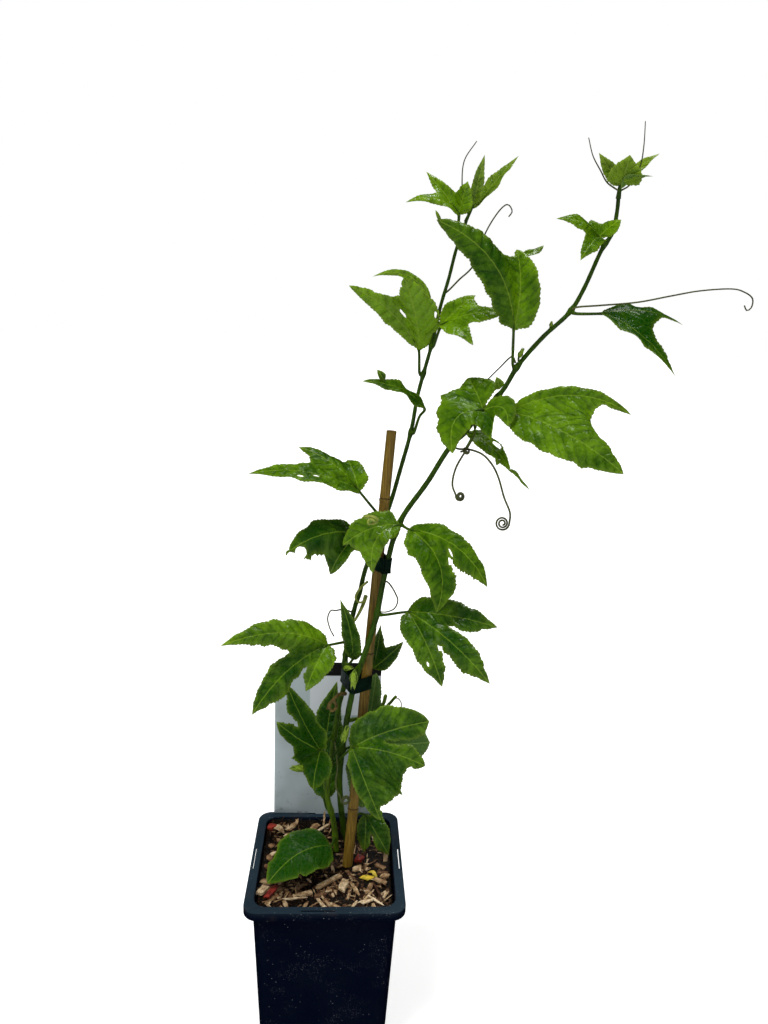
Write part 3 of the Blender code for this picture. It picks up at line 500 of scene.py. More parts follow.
@dataclass(frozen=True)
class StalkFinish:
    """Smooth green bark with fine lengthwise streaks, browner where it is old."""

    name: str
    young: Colour
    old: Colour
    dark: Colour
    roughness: float = 0.38

    def build(self) -> Material:
        """Build the material from the stalk's own age measure.

        Returns:
            The material.
        """
        g = Graph(self.name)
        streak, mottle = g.noise(g.spot((1.0, 1.0, 0.16)), 900.0, 3.0), g.noise(g.spot(), 90.0, 3.0)
        colour = g.paint(self.young, (g.measure("age"), self.old), (g.ramp(streak, 0.42, 0.72, 0.0, 0.55), self.dark),
                         (g.ramp(mottle, 0.45, 0.8, 0.0, 0.45), self.dark))
        return g.end(Base_Color=colour, Normal=g.bump(g.plus(streak, (mottle, 0.5)), 0.0003), Specular_IOR_Level=0.3,
                     Roughness=g.ramp(mottle, 0.3, 0.7, self.roughness - 0.06, self.roughness + 0.12))


@dataclass(frozen=True)
class BambooFinish:
    """Dry split-skinned bamboo: tan, with lengthwise fibres, stains and darker joints."""

    pale: Colour = (0.225, 0.142, 0.020)
    tan: Colour = (0.105, 0.060, 0.005)
    stain: Colour = (0.026, 0.015, 0.006)
    green: Colour = (0.075, 0.072, 0.018)

    def build(self) -> Material:
        """Build the material from Object coordinates and the cane's own joint measure.

        Returns:
            The material.
        """
        g = Graph("dry_bamboo")
        fibre = g.noise(g.spot((1.0, 1.0, 0.035)), 1500.0, 4.0)
        band = g.noise(g.spot((1.0, 1.0, 0.10)), 260.0, 3.0)
        patch, stains = g.noise(g.spot(), 38.0, 3.0), g.noise(g.spot(), 420.0, 2.0)
        colour = g.paint(self.tan, (g.ramp(fibre, 0.3, 0.7), self.pale), (g.ramp(band, 0.45, 0.75, 0.0, 0.6), self.tan),
                         (g.ramp(patch, 0.52, 0.72, 0.0, 0.55), self.green),
                         (g.ramp(stains, 0.64, 0.74, 0.0, 0.8), self.stain), (g.measure("joint"), self.stain))
        return g.end(Base_Color=colour, Normal=g.bump(g.plus(fibre, (band, 0.6)), 0.00035), Specular_IOR_Level=0.3,
                     Roughness=g.ramp(fibre, 0.2, 0.8, 0.42, 0.62))


@dataclass(frozen=True)
class PlasticFinish:
    """Moulded pot plastic: dark blue-grey, with pale specks, scuffs and dust, and a painted highlight on the rim's
    upper band and top faces.
    """

    base: Colour = (0.0002, 0.0020, 0.0110)
    worn: Colour = (0.0010, 0.0036, 0.0140)
    # brim and lit are painted highlight: brim lightens the rim's upper band, and lit the rim's faces that turn up to
    # the light.
    brim: Colour = (0.0040, 0.0085, 0.0170)
    lit: Colour = (0.0150, 0.0280, 0.0400)
    dust: Colour = (0.30, 0.31, 0.31)
    mud: Colour = (0.085, 0.058, 0.036)

    def build(self) -> Material:
        """Build the material from Object coordinates.

        Returns:
            The material.
        """
        g = Graph("pot_plastic_satin")
        at = g.spot()
        cloud = g.noise(at, 26.0, 4.0)
        height = g.node("SeparateXYZ", {0: at}).outputs[2]
        # Painted highlight: the rim's top faces, where they turn up, take the lit colour.
        top = g.times(g.ramp(g.facing(2), 0.35, 0.95), g.ramp(height, 0.140, 0.1445))
        specks = g.times(g.ramp(g.cells(at, 330.0), 0.05, 0.13, 1.0, 0.0), g.ramp(g.noise(at, 60.0), 0.47, 0.62))
        grit = g.times(g.ramp(g.cells(at, 900.0), 0.10, 0.2, 1.0, 0.0), g.ramp(g.noise(at, 45.0), 0.5, 0.66, 0.0, 0.6))
        dots = g.calc("MAXIMUM", specks, grit)
        dirt = g.times(g.ramp(g.noise(at, 75.0, 5.0), 0.56, 0.7), g.ramp(height, 0.128, 0.141))
        colour = g.paint(self.base, (g.ramp(cloud, 0.35, 0.75, 0.0, 0.7), self.worn),
                         (g.ramp(height, 0.1395, 0.1448), self.brim), (g.times(top, 0.8), self.lit),
                         (g.times(dots, 0.75), self.dust), (g.times(dirt, 0.10), self.mud))
        scratch = g.noise(g.spot((1.0, 1.0, 0.12), (0.3, 0.2, 0.0)), 700.0)
        rough = g.plus(g.ramp(cloud, 0.3, 0.7, 0.36, 0.52), (g.calc("ADD", dirt, dots), 0.3))
        return g.end(Base_Color=colour, Roughness=rough, Specular_IOR_Level=0.10,
                     Normal=g.bump(g.plus(g.noise(at, 1400.0), (scratch, 0.8)), 0.00012))


@dataclass(frozen=True)
class TapeFinish:
    """Stretched dark green tape with a soft gloss and creases."""

    base: Colour = (0.0015, 0.010, 0.0055)
    stretched: Colour = (0.0025, 0.018, 0.010)

    def build(self) -> Material:
        """Build the material from Object coordinates.

        Returns:
            The material.
        """
        g = Graph("stretched_tape")
        pull, cloud = g.noise(g.spot((0.25, 0.25, 1.0)), 380.0, 4.0, 0.6), g.noise(g.spot(), 120.0, 3.0)
        colour = g.paint(self.base, (g.ramp(pull, 0.4, 0.75), self.stretched),
                         (g.ramp(cloud, 0.55, 0.8, 0.0, 0.5), self.base))
        return g.end(Base_Color=colour, Normal=g.bump(g.plus(pull, (cloud, 0.5)), 0.0004), Specular_IOR_Level=0.3,
                     Roughness=g.ramp(cloud, 0.3, 0.7, 0.3, 0.45))


@dataclass(frozen=True)
class CardFinish:
    """Printed card without words: grey, with a black band and a whiter field under it."""

    card: Colour = (0.395, 0.465, 0.485)
    field: Colour = (0.62, 0.66, 0.70)
    band: Colour = (0.008, 0.008, 0.009)
    grime: Colour = (0.12, 0.125, 0.12)
    split: float = -0.0185
    band_low: float = 0.2816
    band_high: float = 0.3000
    field_low: float = 0.2440
    soft: float = 0.0003

    def build(self) -> Material:
        """Build the material from Object coordinates, with X across and Z up the card.

        Returns:
            The material.
        """
        g = Graph("printed_card")
        at = g.spot()
        x, _, z = g.node("SeparateXYZ", {0: at}).outputs

        def past(value: Socket, edge: float, sign: int = 1) -> Socket:
            """Where a value is past an edge, or short of it for a sign of -1."""
            return g.ramp(value, edge - self.soft, edge + self.soft, *((0.0, 1.0) if sign > 0 else (1.0, 0.0)))

        side = g.times(past(x, self.split), g.ramp(g.facing(1), -0.5, -0.4, 1.0, 0.0))
        band = g.times(side, g.times(past(z, self.band_low), past(z, self.band_high, -1)))
        panel = g.times(side, g.times(past(z, self.field_low), past(z, self.band_low, -1)))
        cloud = g.noise(at, 22.0, 4.0)
        speck = g.times(g.ramp(g.cells(at, 210.0), 0.06, 0.16, 1.0, 0.0), g.ramp(g.noise(at, 40.0), 0.55, 0.66))
        splash = g.times(g.ramp(g.noise(at, 120.0, 4.0), 0.55, 0.68), g.ramp(z, 0.146, 0.176, 1.0, 0.0))
        colour = g.paint(self.card, (g.ramp(cloud, 0.45, 0.8, 0.0, 0.35), self.grime), (panel, self.field),
                         (band, self.band), (g.times(speck, 0.7), self.grime), (g.times(splash, 0.6), self.grime))
        return g.end(Base_Color=colour, Normal=g.bump(g.noise(at, 1500.0, 3.0), 0.00006),
                     Roughness=g.ramp(cloud, 0.3, 0.7, 0.38, 0.52))


@dataclass(frozen=True)
class ChipFinish:
    """Wood and bark chips, each with a shade of its own and grain along it."""

    shades: tuple[tuple[float, Colour], ...] = (
        (0.0, (0.006, 0.0026, 0.0014)), (0.40, (0.024, 0.0105, 0.0045)), (0.62, (0.085, 0.036, 0.018)),
        (0.78, (0.22, 0.120, 0.052)), (0.92, (0.50, 0.345, 0.18)), (1.0, (0.76, 0.61, 0.40)))

    def build(self) -> Material:
        """Build the material from each chip's tint and its grain map.

        Returns:
            The material.
        """
        g = Graph("bark_and_wood_chips")
        fibre = g.noise(g.node("Mapping", {0: g.layer("grain"), 3: (3.0, 30.0, 1.0)}), 1.6, 4.0)
        blotch = g.noise(g.spot(), 240.0, 3.0)
        tint = g.calc("ADD", g.measure("tint"), g.ramp(fibre, 0.25, 0.75, -0.14, 0.12))
        scale = g.node("ValToRGB", {0: g.calc("ADD", tint, g.ramp(blotch, 0.3, 0.7, -0.10, 0.06))})
        stops = scale.color_ramp.elements
        for i, (share, colour) in enumerate(self.shades):
            stop = stops[i] if i < len(stops) else stops.new(share)
            stop.position, stop.color = share, (*colour, 1.0)
        return g.end(Base_Color=scale, Normal=g.bump(g.plus(fibre, (blotch, 0.5)), 0.0009), Roughness=0.78)


@dataclass(frozen=True)
class MixFinish:
    """Damp potting mix: near black crumbs with brown fibres."""

    wet: Colour = (0.0018, 0.0010, 0.0006)
    brown: Colour = (0.008, 0.0042, 0.0020)
    fleck: Colour = (0.07, 0.045, 0.02)

    def build(self) -> Material:
        """Build the material from Object coordinates.

        Returns:
            The material.
        """
        g = Graph("damp_potting_mix")
        at = g.spot()
        cloud = g.noise(at, 150.0, 5.0)
        colour = g.paint(self.wet, (g.ramp(cloud, 0.35, 0.7), self.brown),
                         (g.ramp(g.noise(at, 700.0, 3.0), 0.62, 0.72, 0.0, 0.7), self.fleck))
        return g.end(Base_Color=colour, Roughness=0.85,
                     Normal=g.bump(g.plus(g.cells(at, 520.0), (cloud, 1.2)), 0.0016))


@dataclass(frozen=True)
class TintFinish:
    """A small bit of one colour, mottled with a second one."""

    name: str
    base: Colour
    second: Colour
    roughness: float = 0.6

    def build(self) -> Material:
        """Build the material from Object coordinates.

        Returns:
            The material.
        """
        g = Graph(self.name)
        fibre, cloud = g.noise(g.spot(), 900.0, 4.0), g.noise(g.spot(), 260.0, 3.0)
        return g.end(Base_Color=g.paint(self.base, (g.ramp(cloud, 0.35, 0.7), self.second)),
                     Normal=g.bump(fibre, 0.0003),
                     Roughness=g.ramp(fibre, 0.3, 0.7, self.roughness - 0.06, self.roughness + 0.1))


class Finishes:
    """The finishes that several pieces share, each built once."""

    def __init__(self) -> None:
        """Build the finishes."""
        self.upper = LeafFinish("leaf_upper_side", (0.0030, 0.040, 0.0005), (0.150, 0.300, 0.0015),
                                (0.26, 0.38, 0.03)).build()
        self.under = LeafFinish("leaf_under_side", (0.040, 0.100, 0.012), (0.130, 0.240, 0.030),
                                (0.25, 0.35, 0.09), 0.52, 0.0, 0.35, 0.25).build()
        self.young = LeafFinish("young_leaf_side", (0.040, 0.105, 0.0015), (0.190, 0.310, 0.008),
                                (0.30, 0.40, 0.06), 0.38, 0.12, 0.3).build()
        self.stalk = StalkFinish("green_stalk", (0.028, 0.072, 0.001), (0.100, 0.180, 0.008),
                                 (0.005, 0.016, 0.001)).build()
        self.tendril = StalkFinish("pale_tendril", (0.080, 0.100, 0.025), (0.030, 0.026, 0.018),
                                   (0.016, 0.020, 0.008), 0.45).build()
        brown = TintFinish("dry_brown", (0.160, 0.108, 0.018), (0.050, 0.032, 0.006)).build()
        pale = TintFinish("pale_curl", (0.300, 0.340, 0.060), (0.110, 0.170, 0.018), 0.4).build()
        self.coats = {Coat.GREEN: self.stalk, Coat.PALE: pale, Coat.DRY: brown}


# Geometry Nodes


class Grower(Tree):
    """A Geometry Nodes tree built in code, which ends in plain geometry with a material."""

    family = "GeometryNode"

    def __init__(self, name: str, inputs: dict[str, tuple[str, object]]) -> None:
        """Start a tree.

        Args:
            name: The tree's name.
            inputs: Each input's name, with its kind of socket and its first value.
        """
        super().__init__(bpy.data.node_groups.new(name, "GeometryNodeTree"))
        sockets = self.tree.interface
        for way in ("INPUT", "OUTPUT"):
            sockets.new_socket("Geometry", in_out=way, socket_type="NodeSocketGeometry")
        for label, (kind, value) in inputs.items():
            made = sockets.new_socket(label, in_out="INPUT", socket_type="NodeSocket" + kind)
            if value is not None:
                made.default_value = value
        self.given = self.tree.nodes.new("NodeGroupInput").outputs

    def close(self, geometry: Node) -> None:
        """End the tree in Realize Instances and Set Material.

        Args:
            geometry: The node that gives the geometry.
        """
        real = self.node("RealizeInstances", {"Geometry": geometry})
        made = self.node("SetMaterial", {"Geometry": real, "Material": self.given["Material"]})
        self.put(self.tree.nodes.new("NodeGroupOutput").inputs[0], made)

    def grow(self, obj: Object, values: dict[str, object]) -> Object:
        """Run the tree on an object and keep the result as its plain mesh.

        Args:
            obj: The object that the tree starts from.
            values: The inputs' values, by name.

        Returns:
            The same object.
        """
        step = obj.modifiers.new(self.tree.name, "NODES")
        step.node_group = self.tree
        ids = {s.name: s.identifier for s in self.tree.interface.items_tree if s.in_out == "INPUT"}
        for label, value in values.items():
            step[ids[label]] = value
        plain_mesh(obj)
        return obj


@dataclass
class Rod:
    """One rod: its path, its radius at each point of it, and how old it looks there."""

    path: list[Vector]
    radii: list[float]
    age: list[float] = field(default_factory=list)

    def rounded(self) -> "Rod":
        """Close the rod's tip with a small dome.

        Returns:
            The same rod.
        """
        tip, radius = self.path[-1], self.radii[-1]
        way = (tip - self.path[-2]).normalized()
        for share in (0.5, 0.8, 0.95):
            self.path.append(tip + way * radius * share)
            self.radii.append(radius * sqrt(1 - share * share))
        self.age += self.age[-1:] * 3
        return self


class RodGrower(Grower):
    """Grows a closed round rod along every path of a wire mesh, as thick as its points say."""

    def __init__(self) -> None:
        """Build the tree: a circle swept along the paths, scaled by their girth."""
        super().__init__("rod_along_path", {"Sides": ("Int", 12), "Thickness": ("Float", 1.0),
                                            "Material": ("Material", None)})
        curve = self.node("MeshToCurve", {"Mesh": self.given["Geometry"]})
        ring = self.node("CurvePrimitiveCircle", {"Resolution": self.given["Sides"], 4: 1.0})
        girth = self.node("InputNamedAttribute", {"Name": "girth"}, data_type="FLOAT")
        rod = self.node("CurveToMesh", {"Curve": curve, "Profile Curve": ring, "Fill Caps": True,
                                        "Scale": self.times(girth, self.given["Thickness"])})
        self.close(self.node("SetShadeSmooth", {"Geometry": rod}))

    def rods(self, name: str, rods: Sequence[Rod], sides: int, material: Material) -> Object:
        """Grow rods as one object.

        Args:
            name: The object's name.
            rods: The rods.
            sides: How many sides a rod has.
            material: The rods' material.

        Returns:
            The object.
        """
        verts, edges, girths, ages = [], [], [], []
        for rod in rods:
            edges += [(len(verts) + i, len(verts) + i + 1) for i in range(len(rod.path) - 1)]
            verts += rod.path
            girths += [r * MM for r in rod.radii]
            ages += rod.age or [0.0] * len(rod.path)
        obj = new_object(name, verts, [], edges)
        carry(obj, "girth", girths)
        carry(obj, "age", ages)
        return self.grow(obj, {"Sides": sides, "Thickness": 1.0, "Material": material})


class ChipGrower(Grower):
    """Strews chips of several shapes over a bed, each turned, tipped, scaled and tinted by chance."""

    def __init__(self) -> None:
        """Build the tree: points on the bed, a shape on each, and its tint."""
        super().__init__("chips_on_bed", {
            "Per Area": ("Float", 1000.0), "Seed": ("Int", 1), "Smallest": ("Float", 0.6),
            "Largest": ("Float", 1.2), "Tip": ("Float", 0.4), "Sink": ("Float", 0.0),
            "Palest": ("Float", 1.0), "Shapes": ("Collection", None), "Material": ("Material", None)})
        given = self.given
        points = self.node("DistributePointsOnFaces", {"Mesh": given["Geometry"], "Density": given["Per Area"],
                                                       "Seed": given["Seed"]})
        shapes = self.node("CollectionInfo", {"Collection": given["Shapes"], "Separate Children": True,
                                              "Reset Children": True})
        below = self.times(given["Tip"], -1.0)
        low = self.node("ShaderNodeCombineXYZ", {0: below, 1: below, 2: 0.0})
        high = self.node("ShaderNodeCombineXYZ", {0: given["Tip"], 1: given["Tip"], 2: 2 * pi})
        turn = self.node("FunctionNodeRandomValue", {0: low, 1: high, "Seed": given["Seed"]}, data_type="FLOAT_VECTOR")
        strewn = self.node("InstanceOnPoints", {
            "Points": points, "Instance": shapes, "Pick Instance": True,
            "Rotation": self.node("FunctionNodeEulerToRotation", {0: turn}),
            "Scale": self.chance(given["Smallest"], given["Largest"])})
        kept = self.node("StoreNamedAttribute", {"Geometry": strewn, "Name": "tint",
                                                 "Value": self.chance(0.0, given["Palest"])},
                         data_type="FLOAT", domain="INSTANCE")
        down = self.node("ShaderNodeCombineXYZ", {2: self.times(given["Sink"], -1.0)})
        self.close(self.node("TranslateInstances", {"Instances": kept, "Translation": down, "Local Space": False}))

    def chance(self, low: object, high: object) -> Socket:
        """A random number between two, by the tree's seed."""
        return self.node("FunctionNodeRandomValue", {2: low, 3: high, "Seed": self.given["Seed"]},
                         data_type="FLOAT").outputs[1]


# Where the plant grows, as in the CAD model

LEFT_STEM = (
    (8, 21, 130), (5, 21, 163), (-1, 19, 192), (1, 16, 224), (4, 14, 252), (7, 13, 278), (11, 12, 298), (11, 13, 318),
    (14, 14, 343), (18, 14, 364), (21, 14, 374), (25, 14, 394), (34, 15, 422), (42, 15, 445), (49, 15, 473),
    (56, 15, 503), (60, 15, 531), (68, 14, 566), (73, 14, 593), (78, 14, 613), (82, 14, 632), (86, 13, 645),
    (88, 12, 652),
)
RIGHT_STEM = (
    (19, 27, 130), (13, 25, 159), (9, 16, 208), (12, 4, 257), (18, -5, 303), (23, -7, 323), (28, -7, 340),
    (34, -7, 364), (38, -6, 390), (42, -5, 412), (45, -4, 425), (52, -3, 443), (68, -4, 468), (83, -6, 495),
    (100, -7, 515), (118, -6, 536), (129, -4, 555), (146, 0, 575), (164, 4, 592), (174, 7, 609), (185, 10, 636),
    (192, 11, 648), (194, 12, 662), (194, 12, 672),
)
STEM_RADII = {"left": (2.9, 1.3), "right": (3.1, 1.6)}
STEM_SLIMNESS = 0.86
STEM_STEP = 10.0
ROOT_Z = 66.0
SOIL_TOP = 136.0


@dataclass(frozen=True)
class Lobe:
    """One lobe of a blade: where it ends, how its midrib bows, how wide it is, and the painted light and shade it gets.
    """

    tip: Point
    half_width: float
    bow: float = 6.0
    side: float = 0.0
    twist: float = 0.0
    # tone is painted light and shade: it lightens a lobe that faces the light and darkens one turned away from it.
    tone: float = 0.0


@dataclass(frozen=True)
class Hole:
    """A hole or bite in a blade: the lobe, the share along it, half-widths aside, and two radii."""

    lobe: int
    share: float
    aside: float
    along: float
    across: float


@dataclass(frozen=True)
class Spur:
    """A small extra lobe: the lobe it grows from, where on it, its tip, half-width and sideways bow."""

    lobe: int
    share: float
    aside: float
    tip: Point
    half_width: float
    side: float = 0.0


@dataclass(frozen=True)
class Leaf:
    """A leaf: the stem it grows from, its petiole's way, its junction, its lobes and its shade.

    seat is the height of the petiole's foot on the stem, and via the points between. up is the
    side that faces the light. web tells how far out two neighbouring lobes stay joined, cup how
    much the margins rise, wave how much they ripple, and wedge how narrow the base is. blunt
    says how full the lobes' ends are, puff how far the blade swells between its veins, and
    shine how glossy it is.
    """

    stem: str
    seat: float
    junction: Point
    up: Point
    lobes: tuple[Lobe, ...]
    web: tuple[float, ...] = ()
    cup: float = 0.0
    wave: float = 1.5
    via: tuple[Point, ...] = ()
    spurs: tuple[Spur, ...] = ()
    wedge: float = 0.0
    tone: float = 0.45
    holes: tuple[Hole, ...] = ()
    back_shown: bool = False
    blunt: float = 0.0
    puff: float = 1.0
    shine: float = 1.0


# Where a lobe has a tone of its own, that is painted light and shade on that lobe.
LEAVES = {
    "leaf_soil_left": Leaf("left", 150, (3, 5, 153), (-0.1, -0.45, 0.9), (Lobe((-46, -33, 147), 21, 9, -4),),
        cup=-0.05, tone=-0.24, blunt=0.6, holes=(Hole(0, 0.66, 0.86, 2.6, 3.4), Hole(0, 0.8, -0.76, 9.5, 5.5)),
        puff=0.3, shine=0.5),
    "leaf_soil_right": Leaf("right", 152, (32, 16, 174), (0.1, -0.9, 0.4), (Lobe((31, 7, 145), 8, 4),
        Lobe((52, 4, 145), 12, 4)), web=(0.42,), via=((20, 20, 168), (27, 17, 175)), tone=0.15, puff=0.6),
    "leaf_bright_low": Leaf("left", 226, (18, -12, 255), (0, -0.95, 0.35), (Lobe((77, -22, 284), 21, 6, 4),
        Lobe((74, -34, 253), 16, 8, 5), Lobe((42, -28, 201), 10, 6)), web=(0.95, 0.46), wedge=0.2, tone=0.26,
        blunt=0.8, puff=0.7, shine=1.1),
    "leaf_behind_low": Leaf("right", 240, (30, 26, 238), (0.1, -0.9, 0.3), (Lobe((37, 26, 301), 10, 3),
        Lobe((83, 14, 245), 22, 8), Lobe((29, 20, 179), 16, 5)), web=(0.5, 0.5), tone=0, back_shown=True, blunt=0.9),
    "leaf_dark_low": Leaf("left", 250, (-7, 2, 244), (-0.35, -0.9, 0.25), (Lobe((-34, -6, 306), 13, 3),
        Lobe((-41, -14, 278), 12, 3), Lobe((-12, -8, 215), 14, 3)), web=(0.55, 0.6), tone=0.06, blunt=0.5,
        shine=0.35),
    "leaf_upright_low": Leaf("left", 176, (-4, 24, 185), (-0.25, -0.95, 0.1), (Lobe((5, 28, 292), 16, -5, 5),),
        tone=0.08),
    "leaf_left_mid": Leaf("left", 334, (-3, -4, 338), (-0.15, -0.75, 0.65), (Lobe((-79, -38, 351), 12, 13, -5),
        Lobe((-56, -44, 300), 18, 10, -3, tone=-0.26), Lobe((-18, -26, 310), 13, 5)), web=(0.42, 0.42), tone=0.5,
        blunt=0.2),
    "leaf_narrow_mid": Leaf("left", 316, (17, 2, 324), (-0.3, -0.9, 0), (Lobe((6, -8, 377), 8, 3, -4),), cup=0.1,
        tone=0.15),
    "leaf_behind_stake": Leaf("left", 323, (34, 16, 310), (0.2, -0.9, 0.2), (Lobe((39, 20, 346), 6, 2),
        Lobe((57, 10, 336), 8, 2)), web=(0.6,), via=((22, 19, 322), (30, 18, 314)), tone=0.05),
    "leaf_right_mid": Leaf("right", 366, (58, -10, 369), (0.1, -0.8, 0.6), (Lobe((124, -24, 363), 14, 8),
        Lobe((117, -44, 327), 15, 12), Lobe((83, -38, 321), 14, 8)), web=(0.48, 0.44), tone=0.28,
        holes=(Hole(2, 0.68, -0.35, 1.7, 0.7),), blunt=0.2),
    "leaf_right_droop": Leaf("right", 436, (56, -12, 434), (0.25, -0.75, 0.65), (Lobe((112, -34, 398), 11, 14, 3),
        Lobe((76, -36, 379), 17, 14, 7)), web=(0.5,), tone=0.32, blunt=0.4, holes=(Hole(1, 0.5, 0.58, 3, 0.5),),
        shine=0.35),
    "leaf_over_tie": Leaf("right", 429, (48, -11, 437), (-0.1, -0.8, 0.6), (Lobe((29, -32, 406), 9, 8, -8),
        Lobe((7, -24, 424), 13, 5, -3)), web=(0.8,), tone=0.38, blunt=0.5),
    "leaf_left_dark": Leaf("left", 416, (18, 0, 426), (-0.1, -0.6, 0.8), (Lobe((-32, -22, 418), 15, 10),
        Lobe((-2, -12, 398), 8, 5)), web=(0.8,), tone=0.2, holes=(Hole(0, 0.86, 0.32, 4, 3.4),), blunt=0.8,
        spurs=(Spur(0, 0.97, 0, (-33.7, -22, 414.7), 1.2),)),
    "leaf_left_high": Leaf("left", 436, (18, 0, 460), (-0.1, -0.45, 0.9), (Lobe((-60, -24, 475), 13, 9),
        Lobe((-27, 4, 490), 13, 7), Lobe((9, 30, 477), 10, 5)), web=(0.72, 0.6), tone=0.39,
        holes=(Hole(0, 0.58, 0.45, 2.4, 0.9), Hole(0, 0.44, 0.25, 2.4, 0.8)), blunt=0.3, shine=0.25),
    "leaf_right_large": Leaf("right", 532, (123, -14, 523), (0.1, -0.85, 0.5), (Lobe((207, -24, 524), 8, 13, 7.5),
        Lobe((196, -52, 487), 22, 12, -1)), web=(0.66,), wedge=0.2, tone=0.48, blunt=0.4,
        holes=(Hole(0, 0.44, 1, 3, 1.6),), shine=0.8),
    "leaf_centre_fold": Leaf("right", 508, (104, -16, 523), (-0.2, -0.8, 0.6), (Lobe((81, -36, 495), 14, 9, -10),
        Lobe((95, 6, 544), 17, 4), Lobe((119, -30, 514), 10, 4, 8)), web=(0.8, 0.85), tone=0.38, blunt=0.4,
        shine=0.35, spurs=(Spur(1, 0.3, -0.8, (111, -18, 547), 4),)),
    "leaf_centre_hang": Leaf("right", 502, (97, 2, 505), (0.4, -0.7, 0.5), (Lobe((128, -12, 478), 9, 6),), tone=0.52,
        shine=0.2, holes=(Hole(0, 0.5, 0.5, 4, 1.8),), spurs=(Spur(0, 0.66, -0.6, (116, -16, 484), 2.5), Spur(0, 0.93,
        0, (142, -14, 466), 2))),
    "leaf_side_on": Leaf("left", 502, (64, -3, 521.5), (-0.25, -0.5, 0.8), (Lobe((18, -18, 541), 8, 7),),
        via=((58, 9, 503.5), (60.5, 3, 515)), tone=0.28, wave=2.2, blunt=0.5, spurs=(Spur(0, 0.72, -0.4,
        (28, -13, 549), 3),)),
    "leaf_left_fork": Leaf("left", 545, (60, 24, 562), (-0.2, -0.9, 0.2), (Lobe((7, 4, 605), 9, 2, -6),
        Lobe((45, 0, 612), 18, 5, -3, tone=-0.05)), web=(0.7,), wedge=0.5, tone=0.76, blunt=0.6,
        holes=(Hole(0, 0.42, -1, 3.4, 2.2), Hole(1, 0.48, -0.8, 2.6, 1.2)), spurs=(Spur(1, 0.68, -0.7, (23, -6, 611),
        3.2, -9),)),
    "leaf_fork_right": Leaf("left", 566, (73, 6, 580), (0.1, -0.7, 0.7), (Lobe((117, -6, 590), 11, 6),
        Lobe((93, -20, 568), 9, 6), Lobe((98, 14, 602), 9, 3)), web=(0.55, 0.88), wedge=0.2, tone=0.55, puff=0.5,
        blunt=0.4, shine=0.5),
    "leaf_top_twist": Leaf("right", 553, (122, -12, 580), (-0.3, -0.9, 0.3), (Lobe((63, -26, 647), 14, 6, -13,
        tone=-0.1), Lobe((122, -2, 633), 15, 5, -4, tone=0.16)), web=(1,), tone=0.36, blunt=0.7, shine=0.5,
        spurs=(Spur(1, 0.9, -0.2, (142, 4, 637), 3, -2), Spur(0, 0.97, 0, (62, -26, 653), 1.2))),
    "leaf_right_tendril": Leaf("right", 594, (187, -2, 593), (0.2, -0.4, 0.9), (Lobe((250, 10, 587), 9, 6),
        Lobe((234, -26, 552), 12, 6)), web=(0.55,), tone=0.08, puff=0.6, shine=0.25),
    "leaf_top_small": Leaf("right", 640, (180, 2, 644), (-0.1, -0.7, 0.7), (Lobe((146, -10, 653), 8, 5),
        Lobe((162, -20, 626), 8, 4), Lobe((195, 4, 656), 8, 2)), web=(0.5, 0.5), tone=0.42, puff=0.5, shine=0.25),
    "crown_left_leaf": Leaf("left", 646, (82, 9, 656), (-0.2, -0.8, 0.5), (Lobe((44, -4, 660), 5, 6, -3),
        Lobe((59, 20, 684), 6, 2), Lobe((86, 2, 676), 9, 1)), web=(0.5, 0.5), tone=0.62, puff=0.4, shine=0.6),
}

# Tendrils and thin stalks, from their root in the stem to their tip
LEFT_TENDRILS = (
    ((75, 14, 602), (80, 20, 606), (87, 26, 613), (97, 30, 623), (102, 34, 638), (108, 34, 652), (115, 34, 663),
        (120, 34, 667), (123, 34, 665), (124, 34, 662), (122, 34, 659)),
    ((17, 14, 358), (9, 10, 362), (3, 0, 365), (-1, -6, 367), (-3, -12, 363), (-1, -17, 357), (2, -19, 352)),
)
RIGHT_TENDRILS = (
    ((164, 4, 592), (168, 2, 596), (185, 0, 598), (210, -4, 601), (232, -8, 606), (251, -10, 610), (272, -12, 612),
        (282, -12, 610), (288, -12, 606), (288, -12, 600), (285, -12, 598), (283, -12, 601)),
    ((38, -6, 391), (41, -12, 393), (44, -17, 391), (47, -18, 386), (49, -16, 380), (47, -12, 372), (41, -9, 368),
        (36, -6, 367)),
    ((127, -3, 556), (124, -2, 560.5), (117, 4, 552), (110, 10, 543)),
)


@dataclass(frozen=True)
class Coil:
    """A coiled tendril: its way in, and the middle, radii, turns, first angle and axis of its coil."""

    way: tuple[Point, ...]
    centre: Point
    radii: Flat
    turns: float
    start: float
    axis: Point


LEFT_COILS = (
    Coil(((4, 14, 247), (5, 8, 243), (7, -4, 233), (6, -12, 222)), (14, -17, 212), (3.8, 1.6), 2, 165,
        (0.1, -1, 0.2)),
)
RIGHT_COILS = (
    Coil(((99, -7, 514), (99, -13, 506), (93, -20, 496), (86, -22, 483), (84, -22, 471)), (90, -22, 462), (3.2, 1),
        2.6, 170, (0.25, -1, 0.2)),
    Coil(((84, -6, 496), (88, -14, 495), (95, -22, 496), (104, -24, 493), (111, -26, 486), (116, -26, 477),
        (121, -26, 463), (126, -26, 452)), (121, -26, 444), (5.2, 1.3), -2.2, 0, (0, -1, 0.2)),
    Coil(((90, -14, 493), (90, -19, 494)), (92.3, -22.5, 494.9), (2.3, 1.5), 3.6, 60, (0.4, -0.8, 0.6)),
)


@dataclass(frozen=True)
class Bud:
    """A bud or stipule: its foot on the stem, its middle, its tip and its half-width."""

    foot: Point
    middle: Point
    tip: Point
    half_width: float


